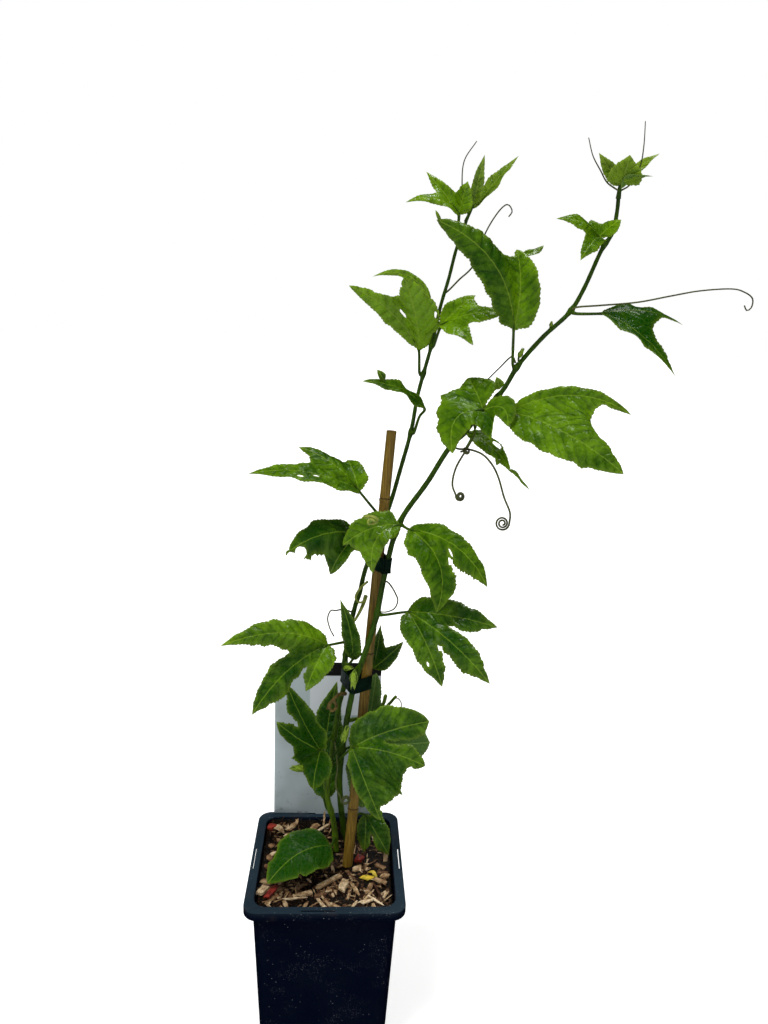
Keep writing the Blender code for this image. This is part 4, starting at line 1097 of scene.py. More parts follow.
LEFT_BUDS = (
    Bud((-1, 19, 205), (-24, -2, 230), (-31, -6, 233), 4.2),
)
RIGHT_BUDS = (
    Bud((21, -6, 322), (18, -13, 315), (17.5, -14, 306), 4.2),
    Bud((14, 0, 318), (13, -10, 322), (17, -13, 324), 3),
    Bud((5, 4, 240), (12, -8, 262), (14.5, -9, 273), 3.8),
    Bud((150, 0, 580), (151, 0, 584), (151, -1, 586), 1.8),
    Bud((129, -4, 556), (129.5, -6, 563), (131, -7, 567), 2.4),
)


class Coat(Enum):
    """How a short stalk looks."""

    GREEN = 0
    PALE = 1
    DRY = 2


@dataclass(frozen=True)
class Shoot:
    """A thick short stalk that ends in the air: its way, its first and last radius, and its look."""

    way: tuple[Point, ...]
    radii: Flat
    coat: Coat = Coat.GREEN


LEFT_SHOOTS = (
    Shoot(((22, -27, 447), (24, -32, 448), (27, -35, 449), (30.5, -35, 447.5), (31, -33, 445), (28, -34, 443.5),
        (25, -36, 444), (24.5, -36, 446), (27, -36, 447), (29, -36, 445.5)), (1.1, 0.9), Coat.PALE),
    Shoot(((27, 14, 384), (22, 9, 381), (18, 6, 375), (19, 5, 371), (22, 5, 370), (25, 5, 372)), (1, 0.8), Coat.PALE),
    Shoot(((26, 12, 373), (24, 7, 368), (21, 6, 361), (18, 6, 355)), (1.7, 1), Coat.PALE),
    Shoot(((12, 10, 290), (7, 1, 294), (3, -3, 292), (-1, -4, 287), (2, -5, 283), (5, -5, 287), (2, -4, 291),
        (-2, -3, 284)), (1.5, 1.1), Coat.DRY),
)
RIGHT_SHOOTS = (
    Shoot(((102, -6, 521), (100, -14, 513), (96, -19, 504), (92, -22, 497)), (0.8, 0.6)),
    Shoot(((16, 0, 272), (22, 10, 268), (32, 12, 268), (41, 10, 274), (48, 7, 284), (52, 4, 291)), (1.7, 1.2)),
    Shoot(((39, 10, 272), (41, 7, 280), (43, 6, 285), (44, 5, 291)), (1.3, 1.6)),
    Shoot(((51.5, 4, 290), (54, 3, 290), (56.5, 2, 287), (57, 2, 281)), (0.5, 0.35), Coat.DRY),
)


# Leaves


TOOTH_PITCH = 2.8
TOOTH_DEPTH = 0.7
TOOTH_SHARE = 0.065
NOTCH_PITCH = 13.0
NOTCH_DEPTH = 0.6
NOTCH_SHARE = 0.05
TIP_EASE = 3.0
WEB_LIMIT = 0.93
BASE_REACH = 1.2
SIDE_LIMIT = 0.92
WAVE_LENGTH = 24.0
WIDEST_RIPPLE = 1.3
SPINE_STEPS = 24
VEIN_PITCH = 8.5
VEIN_LEAN = 0.70
VEIN_CURVE = 0.012
VEIN_SHIFT = 0.38
PUFF = 0.42
DIP = 0.35
CRINKLE = 0.75
BLADE_THICK = 0.42
MARGIN_THICK = 0.20
RIB_DEPTH = 0.55
VEIN_DEPTH = 0.16
INNER_SIDE = (0.30, 0.55, 0.78, 0.92)
INNER_WIDTH = 0.94
BLUNTING = 0.5
WANDER_PITCH = 6.0
WANDER = 0.11
WANDER_LIMIT = 1.6
ROUND_BASE = ((0.03, 0.55), (0.20, 0.97), (0.42, 1.0))
WEDGE_BASE = ((0.05, 0.12), (0.24, 0.45), (0.48, 0.88))
OUTER_SIDE = ((0.58, 0.88), (0.74, 0.62), (0.87, 0.31), (0.95, 0.11))
TOOTH_SHAPE = ((0.28, 1.0), (0.66, 0.45), (0.94, 0.0))


def within(points: np.ndarray, outline: np.ndarray) -> np.ndarray:
    """Tell which flat points lie in an outline.

    Args:
        points: The points, one a row.
        outline: The outline's points, one a row.

    Returns:
        True for each point that lies inside.
    """
    ends = np.roll(outline, -1, axis=0)
    x, y = points[:, :1], points[:, 1:]
    crosses = (outline[:, 1] > y) != (ends[:, 1] > y)
    rise = np.where(ends[:, 1] == outline[:, 1], 1.0, ends[:, 1] - outline[:, 1])
    at = outline[:, 0] + (y - outline[:, 1]) / rise * (ends[:, 0] - outline[:, 0])
    return np.count_nonzero(crosses & (x < at), axis=1) % 2 == 1


def clearance(points: np.ndarray, outline: np.ndarray) -> np.ndarray:
    """Give each flat point's distance from an outline.

    Args:
        points: The points, one a row.
        outline: The outline's points, one a row.

    Returns:
        The distances.
    """
    edge = np.roll(outline, -1, axis=0) - outline
    span = np.maximum((edge ** 2).sum(axis=1), 1e-12)
    to = points[:, None, :] - outline[None]
    reach = np.clip((to * edge).sum(axis=2) / span, 0, 1)
    return np.sqrt(((to - edge * reach[..., None]) ** 2).sum(axis=2).min(axis=1))


def tree_of(points: Sequence[Flat]) -> KDTree:
    """A search tree of flat points.

    Args:
        points: The points.

    Returns:
        The tree.
    """
    tree = KDTree(len(points))
    for i, p in enumerate(points):
        tree.insert((*p, 0.0), i)
    tree.balance()
    return tree


class Spine:
    """A lobe's midrib in space, with the blade's side and upper directions along it."""

    def __init__(self, junction: Point, lobe: Lobe, up: Vector) -> None:
        """Lay the midrib from the junction to the lobe's tip.

        Args:
            junction: Where the lobes meet.
            lobe: The lobe.
            up: The side that faces the light.
        """
        start, end = Vector(junction), Vector(lobe.tip)
        chord = end - start
        along = chord.normalized()
        rise = (up - along * up.dot(along)).normalized()
        bend = start + chord / 2 + 2 * (lobe.bow * rise + lobe.side * rise.cross(along))
        self.places, self.ways, self.ups = [], [], []
        for i in range(SPINE_STEPS + 1):
            t = i / SPINE_STEPS
            self.places.append((1 - t) ** 2 * start + 2 * t * (1 - t) * bend + t ** 2 * end)
            way = ((1 - t) * (bend - start) + t * (end - bend)).normalized()
            normal = (rise - way * rise.dot(way)).normalized()
            turn = radians(lobe.twist) * t
            self.ways.append(way)
            self.ups.append(normal * cos(turn) + normal.cross(way) * -sin(turn))
        self.marks = marks_along(self.places)
        self.length = self.marks[-1]

    def at(self, s: float) -> tuple[Vector, Vector, Vector]:
        """Give a place on the midrib.

        Args:
            s: The distance along it.

        Returns:
            The place, the direction to its left and the upper direction.
        """
        held = min(max(s, 0.0), self.length)
        i, share = span(self.marks, held)
        way = self.ways[i].lerp(self.ways[i + 1], share).normalized()
        normal = self.ups[i].lerp(self.ups[i + 1], share).normalized()
        return self.places[i].lerp(self.places[i + 1], share) + way * (s - held), normal.cross(way), normal


class Blade:
    """The flat pattern of a leaf, its veins, and the way it is bent into space."""

    def __init__(self, leaf: Leaf, seed: int) -> None:
        """Lay the midribs, and sort the lobes by their direction.

        Args:
            leaf: The leaf.
            seed: The seed of its random draws.
        """
        self.leaf, self.seed, self.rng = leaf, seed, random.Random(seed)
        up = Vector(leaf.up).normalized()
        spines = [Spine(leaf.junction, lobe, up) for lobe in leaf.lobes]
        ways = [spine.places[SPINE_STEPS // 3] - Vector(leaf.junction) for spine in spines]
        ahead = (ways[0] - up * ways[0].dot(up)).normalized()
        aside = up.cross(ahead)
        angles = [atan2(way.dot(aside), way.dot(ahead)) for way in ways]
        rows = sorted(zip(angles, spines, leaf.lobes), key=lambda row: row[0])
        self.angles, self.spines, self.lobes = map(list, zip(*rows))
        self.middle = (self.angles[0] + self.angles[-1]) / 2
        self.pitches = [s.length / max(4, round(s.length / VEIN_PITCH)) for s in self.spines]

    def turned(self, i: int, s: float, d: float) -> Flat:
        """The flat point at a distance along a lobe's midrib and another to its left."""
        turn = self.angles[i]
        return s * cos(turn) - d * sin(turn), s * sin(turn) + d * cos(turn)

    def local(self, i: int, x: float, y: float) -> Flat:
        """How far along a lobe's midrib and how far to its left a flat point lies."""
        turn = self.angles[i]
        return x * cos(turn) + y * sin(turn), y * cos(turn) - x * sin(turn)

    def side(self, i: int, sign: int) -> list[Flat]:
        """Give marks down one side of a lobe.

        Args:
            i: The lobe's number.
            sign: 1 for its left side and -1 for its right one.

        Returns:
            The flat points, from the lobe's root to its tip.
        """
        length, width = self.spines[i].length, self.lobes[i].half_width
        ending = [(share, spread ** (1 - BLUNTING * self.leaf.blunt)) for share, spread in OUTER_SIDE]
        other = i + sign
        if 0 <= other < len(self.lobes):
            half = abs(self.angles[other] - self.angles[i]) / 2
            reach = self.leaf.web[min(i, other)] * (length + self.spines[other].length) / 2
            reach = min(reach, WEB_LIMIT * min(length, self.spines[other].length))
            marks = [(reach * cos(half), reach * sin(half))]
            start = marks[0][0] / length
            shares, spreads = zip((0.42, 1.0), *ending, (1.0, 0.0))
            for share in INNER_SIDE:
                t = start + (1 - start) * share
                spread = min(INNER_WIDTH, float(np.interp(t, shares, spreads)))
                marks.append((t * length, min(width * spread, t * length * tan(half) * SIDE_LIMIT)))
        else:
            marks = [tuple(size * (a + (b - a) * self.leaf.wedge) for size, a, b in zip((length, width), full, narrow))
                     for full, narrow in zip(ROUND_BASE, WEDGE_BASE)]
            marks += [(share * length, spread * width) for share, spread in ending]
            gap = pi - (self.angles[-1] - self.angles[0]) / 2
            if gap < pi / 2:
                marks = [(s, min(d, s * tan(gap) * SIDE_LIMIT)) for s, d in marks]
        return [self.turned(i, s, sign * d) for s, d in (*marks, (length, 0.0))]

    def toothed(self, marks: Sequence[Flat], i: int, sign: int) -> list[Flat]:
        """Cut fine teeth and shallow notches into a side.

        Args:
            marks: The side's marks, from its root to the lobe's tip.
            i: The lobe's number.
            sign: 1 where the blade lies to the right of the way, and -1 to its left.

        Returns:
            The side's points.
        """
        line = smooth_path([(*p, 0.0) for p in marks], 1.0)
        lengths = marks_along(line)
        total, half_width = lengths[-1], self.lobes[i].half_width
        teeth = max(4, round(total / TOOTH_PITCH))
        notches = max(2, round(self.spines[i].length / NOTCH_PITCH))
        depth = min(TOOTH_DEPTH, TOOTH_SHARE * half_width)
        deep = min(NOTCH_DEPTH, NOTCH_SHARE * half_width)
        wander = min(WANDER_LIMIT, WANDER * half_width)
        row = self.rng.uniform(0, 99)
        points = [tuple(line[0].xy)]
        for tooth in range(teeth):
            size = self.rng.uniform(0.55, 1.25) * depth
            for share, cut in TOOTH_SHAPE:
                at = (tooth + share) / teeth * total
                place, way = on_line(line, lengths, at)
                notch = at / total * notches % 1.0
                wave = notch / 0.45 if notch < 0.45 else (1 - notch) / 0.55
                ease = min(1.0, TIP_EASE * (1.0 - at / total)) * min(1.0, at / 3.0)
                drift = wander * (noise.noise(Vector((at / WANDER_PITCH, row, 0.5))) + 0.2)
                inward = sign * (size * cut + deep * wave + drift) * ease
                points.append((place.x + way.y * inward, place.y - way.x * inward))
        return [*points, tuple(line[-1].xy)]

    def outline(self) -> list[Flat]:
        """The blade's edge, anticlockwise from its base.

        Returns:
            The flat points.
        """
        base = (-BASE_REACH * cos(self.middle), -BASE_REACH * sin(self.middle))
        edge, last = [], len(self.lobes) - 1
        for i in range(last + 1):
            rising = self.toothed([base] * (i == 0) + self.side(i, -1), i, -1)
            falling = self.toothed([base] * (i == last) + self.side(i, 1), i, 1)[::-1]
            edge += rising[1:] if edge else rising
            edge += falling[1:]
        return edge[:-1]

    def edge_point(self, lobe: int, share: float, aside: float) -> Flat:
        """The flat point at a share of a leaf's lobe and some half-widths to its left."""
        i = self.lobes.index(self.leaf.lobes[lobe])
        return self.turned(i, share * self.spines[i].length, aside * self.lobes[i].half_width)

    def weights(self, x: float, y: float) -> list[tuple[int, float]]:
        """How much each lobe's midrib carries a flat point, for the lobes that do.

        Args:
            x: The flat point's first coordinate.
            y: Its second one.

        Returns:
            Each lobe's number and its share.
        """
        angle = remainder(atan2(y, x) - self.middle, 2 * pi) + self.middle
        if angle <= self.angles[0]:
            return [(0, 1.0)]
        for i, (low, high) in enumerate(zip(self.angles, self.angles[1:])):
            if angle <= high:
                share = eased((angle - low) / (high - low))
                return [(i, 1 - share), (i + 1, share)]
        return [(len(self.angles) - 1, 1.0)]

    def nearest(self, x: float, y: float) -> int:
        """The lobe whose midrib carries a flat point most."""
        return max(self.weights(x, y), key=lambda row: row[1])[0]

    def phase(self, i: int, s: float, a: float, sign: float) -> float:
        """The count of side veins passed at a distance along a midrib and another away from it."""
        start = s - VEIN_LEAN * a - VEIN_CURVE * a * a
        return start / self.pitches[i] + (VEIN_SHIFT if sign > 0 else 0.0)

    def bent(self, x: float, y: float) -> Vector:
        """The place in space of a point of the flat blade.

        Args:
            x: The flat point's first coordinate.
            y: Its second one.

        Returns:
            The place.
        """
        place = Vector((0.0, 0.0, 0.0))
        for i, share in self.weights(x, y):
            s, d = self.local(i, x, y)
            spot, left, normal = self.spines[i].at(s)
            half_width = self.lobes[i].half_width
            spread = min(abs(d) / half_width, WIDEST_RIPPLE)
            swell = 2 * pi * s / WAVE_LENGTH + 2.0 * i + (d > 0)
            lift = self.leaf.cup * d * d / half_width + self.leaf.wave * spread ** 2 * sin(swell)
            place += share * (spot + left * d + normal * lift)
        return place

    def relief(self, x: float, y: float, margin: float) -> Flat:
        """Give the blade's puffed surface and its ribs.

        Args:
            x: The flat point's first coordinate.
            y: Its second one.
            margin: How far it lies from the blade's edge.

        Returns:
            How far the surface rises there, and how much thicker the blade is below it.
        """
        rise, rib = 0.0, 0.0
        for i, share in self.weights(x, y):
            s, d = self.local(i, x, y)
            a = abs(d)
            bulge = abs(sin(pi * self.phase(i, s, a, d)))
            taper = 1.0 - 0.75 * min(max(s / self.spines[i].length, 0.0), 1.0)
            rise += share * (PUFF * self.leaf.puff * bulge ** 0.7 * eased(a / 3.0) - DIP * (1 - eased(a / 1.8)))
            rib += share * (RIB_DEPTH * taper * (1 - eased(a / 1.1)) + VEIN_DEPTH * (1 - eased(bulge * 4)))
        hold = 0.25 + 0.75 * eased(margin / 3.0)
        crumple = noise.noise(Vector((x / 5.5, y / 5.5, 3.1 * self.seed)))
        return hold * rise + CRINKLE * self.leaf.puff * crumple * eased(margin / 2.0 + 0.3), rib * eased(margin / 1.2)

    def hole_rings(self) -> list[list[Flat]]:
        """The outlines of the blade's holes and bites.

        Returns:
            Rings of flat points.
        """
        rings = []
        for hole in self.leaf.holes:
            i = self.lobes.index(self.leaf.lobes[hole.lobe])
            s, d = hole.share * self.spines[i].length, hole.aside * self.lobes[i].half_width
            rings.append([])
            for k in range(14):
                angle = 2 * pi * k / 14
                ragged = 1.0 + 0.16 * self.rng.uniform(-1, 1)
                rings[-1].append(self.turned(i, s + ragged * hole.along * cos(angle),
                                             d + ragged * hole.across * sin(angle)))
        return rings

    def seeds(self, outline: np.ndarray, spacing: float) -> list[Flat]:
        """Spread points over the blade, first along its veins and then evenly.

        Args:
            outline: The blade's edge, one point a row.
            spacing: The distance between points.

        Returns:
            The flat points, without the midribs' own.
        """
        wanted = []
        for i, spine in enumerate(self.spines):
            for sign, shift in ((-1, 0.0), (1, VEIN_SHIFT)):
                for k in range(1, int(spine.length / self.pitches[i]) + 2):
                    a = spacing
                    while a < 2.0 * self.lobes[i].half_width:
                        s = (k - shift) * self.pitches[i] + VEIN_LEAN * a + VEIN_CURVE * a * a
                        spot = self.turned(i, s, sign * a)
                        if self.nearest(*spot) == i:
                            wanted.append(spot)
                        a += spacing
        low, high = outline.min(axis=0), outline.max(axis=0)
        row_height = spacing * sqrt(3) / 2
        for row in range(int((high[1] - low[1]) / row_height) + 1):
            for column in range(int((high[0] - low[0]) / spacing) + 2):
                wanted.append((low[0] + (column + 0.5 * (row % 2)) * spacing, low[1] + (row + 0.5) * row_height))
        spots = np.array(wanted)
        spots = spots[within(spots, outline)]
        return [tuple(p) for p in spots[clearance(spots, outline) > 0.45 * spacing]]

    def pattern(self, spacing: float) -> tuple[np.ndarray, list[tuple[int, ...]], np.ndarray]:
        """Cut the flat blade into triangles.

        Args:
            spacing: The distance between points.

        Returns:
            The flat points, the triangles, and each point's distance from the edge.
        """
        outline = np.array(self.outline())
        rings = self.hole_rings()
        flat = [Vector(p) for p in outline.tolist()]
        lines = [(i, (i + 1) % len(flat)) for i in range(len(flat))]
        for i, spine in enumerate(self.spines):
            count = max(3, round(spine.length / spacing))
            start = len(flat)
            flat += [Vector(self.turned(i, spine.length * k / count, 0.0)) for k in range(1, count)]
            lines += [(k, k + 1) for k in range(start, len(flat) - 1)]
        for ring in rings:
            lines += [(len(flat) + k, len(flat) + (k + 1) % len(ring)) for k in range(len(ring))]
            flat += [Vector(p) for p in ring]
        fixed, near = tree_of(flat), 0.6 * spacing
        kept = [p for p in self.seeds(outline, spacing) if fixed.find((*p, 0.0))[2] > near]
        thinned, dropped = tree_of(kept), set()
        for i, p in enumerate(kept):
            if i not in dropped:
                flat.append(Vector(p))
                dropped.update(j for _, j, _ in thinned.find_range((*p, 0.0), near) if j > i)
        points, _, faces, *_ = delaunay_2d_cdt(flat, lines, [], 1, 1e-6)
        points = np.array([tuple(p) for p in points])
        middles = points[np.array(faces)].mean(axis=1)
        good, edge = within(middles, outline), clearance(points, outline)
        for ring in map(np.array, rings):
            good &= ~within(middles, ring)
            edge = np.minimum(edge, clearance(points, ring))
        corners = np.array(faces)[good]
        a, b, c = (points[corners[:, k]] for k in range(3))
        corners = np.where(np.cross(b - a, c - a)[:, None] > 0, corners, corners[:, ::-1])
        used, order = np.unique(corners, return_inverse=True)
        return points[used], [tuple(face) for face in order.reshape(-1, 3).tolist()], edge[used]

    def solid(self, name: str, spacing: float, finishes: Finishes, young: bool) -> Object:
        """Build the blade as a thin closed solid with its vein map.

        Args:
            name: The object's name.
            spacing: The distance between its points.
            finishes: The finishes.
            young: Whether it is a young leaf.

        Returns:
            The blade.
        """
        flat, faces, margin = self.pattern(spacing)
        count, corners = len(flat), np.array(faces)
        middle = np.array([tuple(self.bent(x, y)) for x, y in flat])
        a, b, c = (middle[corners[:, k]] for k in range(3))
        normals = np.zeros((count, 3))
        for k in range(3):
            np.add.at(normals, corners[:, k], np.cross(b - a, c - a))
        normals /= np.maximum(np.linalg.norm(normals, axis=1, keepdims=True), 1e-9)
        reliefs = np.array([self.relief(x, y, m) for (x, y), m in zip(flat, margin)])
        thick = MARGIN_THICK + (BLADE_THICK - MARGIN_THICK) * np.clip(margin / 2.0, 0, 1)
        top = middle + normals * (reliefs[:, 0] + thick / 2)[:, None]
        low = middle + normals * (reliefs[:, 0] - thick / 2 - reliefs[:, 1])[:, None]
        ways = {(a, b) for face in faces for a, b in zip(face, face[1:] + face[:1])}
        rim = [(b, a, a + count, b + count) for a, b in sorted(ways) if (b, a) not in ways]
        under = [tuple(count + k for k in reversed(face)) for face in faces]
        obj = new_object(name, np.vstack((top, low)), faces + under + rim)
        sides = [finishes.young if young else finishes.upper, finishes.under]
        for material in (*(sides[::-1] if self.leaf.back_shown else sides), finishes.stalk):
            obj.data.materials.append(material)
        turned = [Face.UPPER] * len(faces) + [Face.UNDER] * len(under) + [Face.UPPER] * len(rim)
        obj.data.polygons.foreach_set("material_index", [face.value for face in turned])
        self.map_veins(obj.data, flat, faces, rim)
        # The lobes' tones add painted light and shade to the leaf's own tone and its random drift.
        tones = [0.12 * noise.noise(Vector((x / 30.0, y / 30.0, 7.7 * self.seed)))
                 + sum(share * self.lobes[i].tone for i, share in self.weights(x, y)) for x, y in flat]
        for label, values in (("edge", np.exp(-margin / 1.1)), ("tone", np.array(tones) + self.leaf.tone),
                              ("age", np.zeros(count)), ("shine", np.full(count, self.leaf.shine))):
            carry(obj, label, np.tile(values, 2))
        obj.data.shade_smooth()
        return obj

    def map_veins(self, mesh: bpy.types.Mesh, flat: np.ndarray, faces: Sequence[tuple[int, ...]],
                  rim: Sequence[tuple[int, ...]]) -> None:
        """Write the blade's two maps: its vein count with the way from the midrib, and its flat place.

        Args:
            mesh: The blade's mesh: its upper faces, its lower ones and its rim.
            flat: The flat points.
            faces: The upper triangles.
            rim: The rim's quads.
        """
        upper = []
        for face in faces:
            x, y = flat[list(face)].mean(axis=0)
            i = self.nearest(x, y)
            sign = 1.0 if self.local(i, x, y)[1] > 0 else -1.0
            upper.append([])
            for k in face:
                s, d = self.local(i, *flat[k])
                a = max(0.0, sign * d)
                upper[-1].append((self.phase(i, s, a, sign), sign * a * 0.1, k))
        rows = [p for row in upper for p in row] + [p for row in upper for p in reversed(row)]
        rows = np.array(rows + [(0.5, 1.0, k % len(flat)) for quad in rim for k in quad])
        places = flat[rows[:, 2].astype(int)] * 0.01 + 0.37 * self.seed
        for label, values in (("veins", rows[:, :2]), ("flat", places)):
            mesh.uv_layers.new(name=label).uv.foreach_set("vector", values.astype(np.float32).ravel())


@dataclass
class Stem:
    """One of the two stems, with the tendrils, coils, buds and shoots that grow from it."""

    side: str
    points: tuple[Point, ...]
    tendrils: tuple[tuple[Point, ...], ...]
    coils: tuple[Coil, ...]
    buds: tuple[Bud, ...]
    shoots: tuple[Shoot, ...]
    fresh: float
    step: float = 2.5
    sides: int = 20
    swelling: float = 0.75
    swelling_reach: float = 2.4
    ripple: float = 0.05
    fresh_from: float = 150.0
    fresh_span: float = 190.0
    tendril_radii: Point = (0.75, 0.48, 0.72)

    def __post_init__(self) -> None:
        """Lay the CAD model's own path, which the radii and the leaves' seats follow."""
        self.root = Vector((*self.points[0][:2], ROOT_Z))
        self.coarse = [self.root, *smooth_path(self.points, STEM_STEP)]
        self.seats = [leaf.seat for leaf in LEAVES.values() if leaf.stem == self.side]

    def at_height(self, z: float) -> tuple[Vector, Vector, float]:
        """Give the stem's middle at a height.

        Args:
            z: The height.

        Returns:
            The place, the stem's direction there and its radius.
        """
        path = self.coarse
        first, last = STEM_RADII[self.side]
        i = 0
        while i < len(path) - 2 and path[i + 1].z < z:
            i += 1
        share = min(max((z - path[i].z) / (path[i + 1].z - path[i].z), 0.0), 1.0)
        radius = first + (last - first) * (i + share) / (len(path) - 1)
        return path[i].lerp(path[i + 1], share), (path[i + 1] - path[i]).normalized(), radius

    def rod(self) -> Rod:
        """The stem itself, swollen where leaves grow from it.

        Returns:
            The rod.
        """
        path = [self.root, self.root + Vector((0.0, 0.0, 30.0)), *smooth_path(self.points, self.step)]
        radii, age = [], []
        for i, p in enumerate(path):
            radii.append(self.at_height(p.z)[2] * STEM_SLIMNESS + self.ripple * sin(1.7 * i))
            for z in self.seats:
                radii[-1] += self.swelling * swell(p.z, z, self.swelling_reach)
            age.append(self.fresh * (1 - eased((p.z - self.fresh_from) / self.fresh_span)))
        return Rod(path, radii, age).rounded()

    def tendril_rods(self) -> list[Rod]:
        """The stem's tendrils, plain and coiled.

        Returns:
            The rods.
        """
        first, plain, coiled = self.tendril_radii
        lines = [(smooth_path(way, 1.5), plain) for way in self.tendrils]
        lines += [(self.coil_line(coil), coiled) for coil in self.coils]
        return [Rod(line, tapered(first, end, len(line), 0.5), tapered(0.0, 0.5, len(line))).rounded()
                for line, end in lines]

    def coil_line(self, coil: Coil) -> list[Vector]:
        """The middle line of a coiled tendril: its way in, then the shrinking turns.

        Args:
            coil: The coil's sizes.

        Returns:
            The line's points.
        """
        axis = Vector(coil.axis).normalized()
        across = Vector((1.0, 0.0, 0.0))
        across = (across - axis * across.dot(axis)).normalized()
        upward = axis.cross(across)
        steps = int(22 * abs(coil.turns))
        turns = []
        for i in range(steps + 1):
            share = i / steps
            angle = radians(coil.start + 360.0 * coil.turns * share)
            radius = coil.radii[0] + (coil.radii[1] - coil.radii[0]) * share
            middle = Vector(coil.centre) + axis * (1.5 * share)
            turns.append(middle + radius * (across * cos(angle) + upward * sin(angle)))
        return smooth_path([*coil.way, turns[0]], 1.5) + turns[1:]

    def bud_pieces(self, finishes: Finishes, grower: RodGrower) -> list[Object]:
        """Build the stem's buds, each of three small folded bracts on its stalk, and its shoots.

        Args:
            finishes: The finishes.
            grower: The tree that grows the stalks.

        Returns:
            The objects.
        """
        made = []
        for k, bud in enumerate(self.buds):
            middle, tip = Vector(bud.middle), Vector(bud.tip)
            axis = (tip - middle).normalized()
            low = middle - axis * bud.half_width * 1.4
            across = axis.orthogonal().normalized()
            stalk = smooth_path((bud.foot, low, middle), 1.5)
            made.append(grower.rods(f"bud_stalk_{self.side}_{k}", [Rod(stalk, [0.8] * len(stalk))], 10,
                                    finishes.stalk))
            for turn in range(3):
                angle = 2 * pi * turn / 3 + 0.5
                out = across * cos(angle) + axis.cross(across) * sin(angle)
                end = tip + out * bud.half_width * 0.35
                lobe = Lobe(tuple(end), bud.half_width * 0.75, bud.half_width * 0.28)
                leaf = Leaf(self.side, 0.0, tuple(low), tuple(out), (lobe,), cup=-0.8, wave=0.1, tone=0.75)
                made.append(Blade(leaf, 40 + turn).solid(f"bract_{self.side}_{k}_{turn}", 0.9, finishes, True))
        for k, shoot in enumerate(self.shoots):
            line = smooth_path(shoot.way, 1.0)
            rod = Rod(line, tapered(*shoot.radii, len(line) + 1)[:-1], [0.9] * len(line)).rounded()
            made.append(grower.rods(f"shoot_{self.side}_{k}", [rod], 10, finishes.coats[shoot.coat]))
        return made

    def build(self, finishes: Finishes, grower: RodGrower) -> None:
        """Build the stem and what grows from it, and seat them.

        Args:
            finishes: The shared finishes.
            grower: The tree that grows rods.
        """
        stem = grower.rods(f"stem_{self.side}_bark", [self.rod()], self.sides, finishes.stalk)
        seat(stem, Slot.STEM, f"main_stem_{self.side}")
        seat(grower.rods(f"tendrils_{self.side}", self.tendril_rods(), 8, finishes.tendril), Slot.STEM)
        buds = joined(self.bud_pieces(finishes, grower))
        buds.name = f"buds_{self.side}"
        seat(buds, Slot.YOUNG)


@dataclass
class Foliage:
    """The separate leaves, each a blade on its petiole."""

    leaves: dict[str, Leaf]
    stems: dict[str, Stem]
    spacing: float = 1.6
    petiole_radius: float = 1.15
    foot_swelling: Flat = (0.75, 1.8)
    knuckle_swelling: Flat = (0.22, 2.2)
    rib_length: float = 14.0
    rib_sink: float = 0.35

    def petiole(self, leaf: Leaf, blade: Blade) -> Rod:
        """A leaf's petiole, from inside the stem to where it runs out under the blade's midrib.

        Args:
            leaf: The leaf.
            blade: Its blade.

        Returns:
            The petiole.
        """
        place, along, radius = self.stems[leaf.stem].at_height(leaf.seat)
        toward = Vector(leaf.via[0] if leaf.via else leaf.junction) - place
        out = (toward - along * toward.dot(along)).normalized()
        way = [place + out * (radius - 0.8), place + out * (radius + 3.0), *leaf.via]
        for s in (0.0, self.rib_length * 0.6, self.rib_length):
            spot, _, normal = blade.spines[len(blade.spines) // 2].at(s)
            way.append(spot - normal * (self.rib_sink + BLADE_THICK / 2))
        path = smooth_path(way, 1.4)
        marks = marks_along(path)
        end = marks[-1] - self.rib_length
        radii = []
        (foot, foot_reach), (knuckle, knuckle_reach) = self.foot_swelling, self.knuckle_swelling
        for s in marks:
            size = self.petiole_radius * (1.0 - 0.18 * min(s / max(end, 1.0), 1.0))
            size *= 1 + foot * swell(s, 0.0, foot_reach) + knuckle * swell(s, end, knuckle_reach)
            radii.append(size * (1 - 0.8 * max(s - end, 0.0) / self.rib_length))
        return Rod(path, radii, [0.15] * len(path))

    def build(self, finishes: Finishes, grower: RodGrower) -> None:
        """Build every leaf and seat it.

        Args:
            finishes: The shared finishes.
            grower: The tree that grows rods.
        """
        spacing = self.spacing * 1.0
        for seed, (name, leaf) in enumerate(self.leaves.items(), start=1):
            blade = Blade(leaf, seed)
            parts = [blade.solid(f"{name}_blade", spacing, finishes, False)]
            for spur in leaf.spurs:
                base = blade.bent(*blade.edge_point(spur.lobe, spur.share, spur.aside))
                small = Leaf(leaf.stem, leaf.seat, tuple(base), leaf.up,
                             (Lobe(spur.tip, spur.half_width, 1.0, spur.side),), tone=leaf.tone)
                parts.append(Blade(small, seed + 60).solid(f"{name}_spur", 1.2, finishes, False))
            parts.append(grower.rods(f"{name}_petiole", [self.petiole(leaf, blade)], 12, finishes.stalk))
            seat(joined(parts), Slot.LEAF, name)


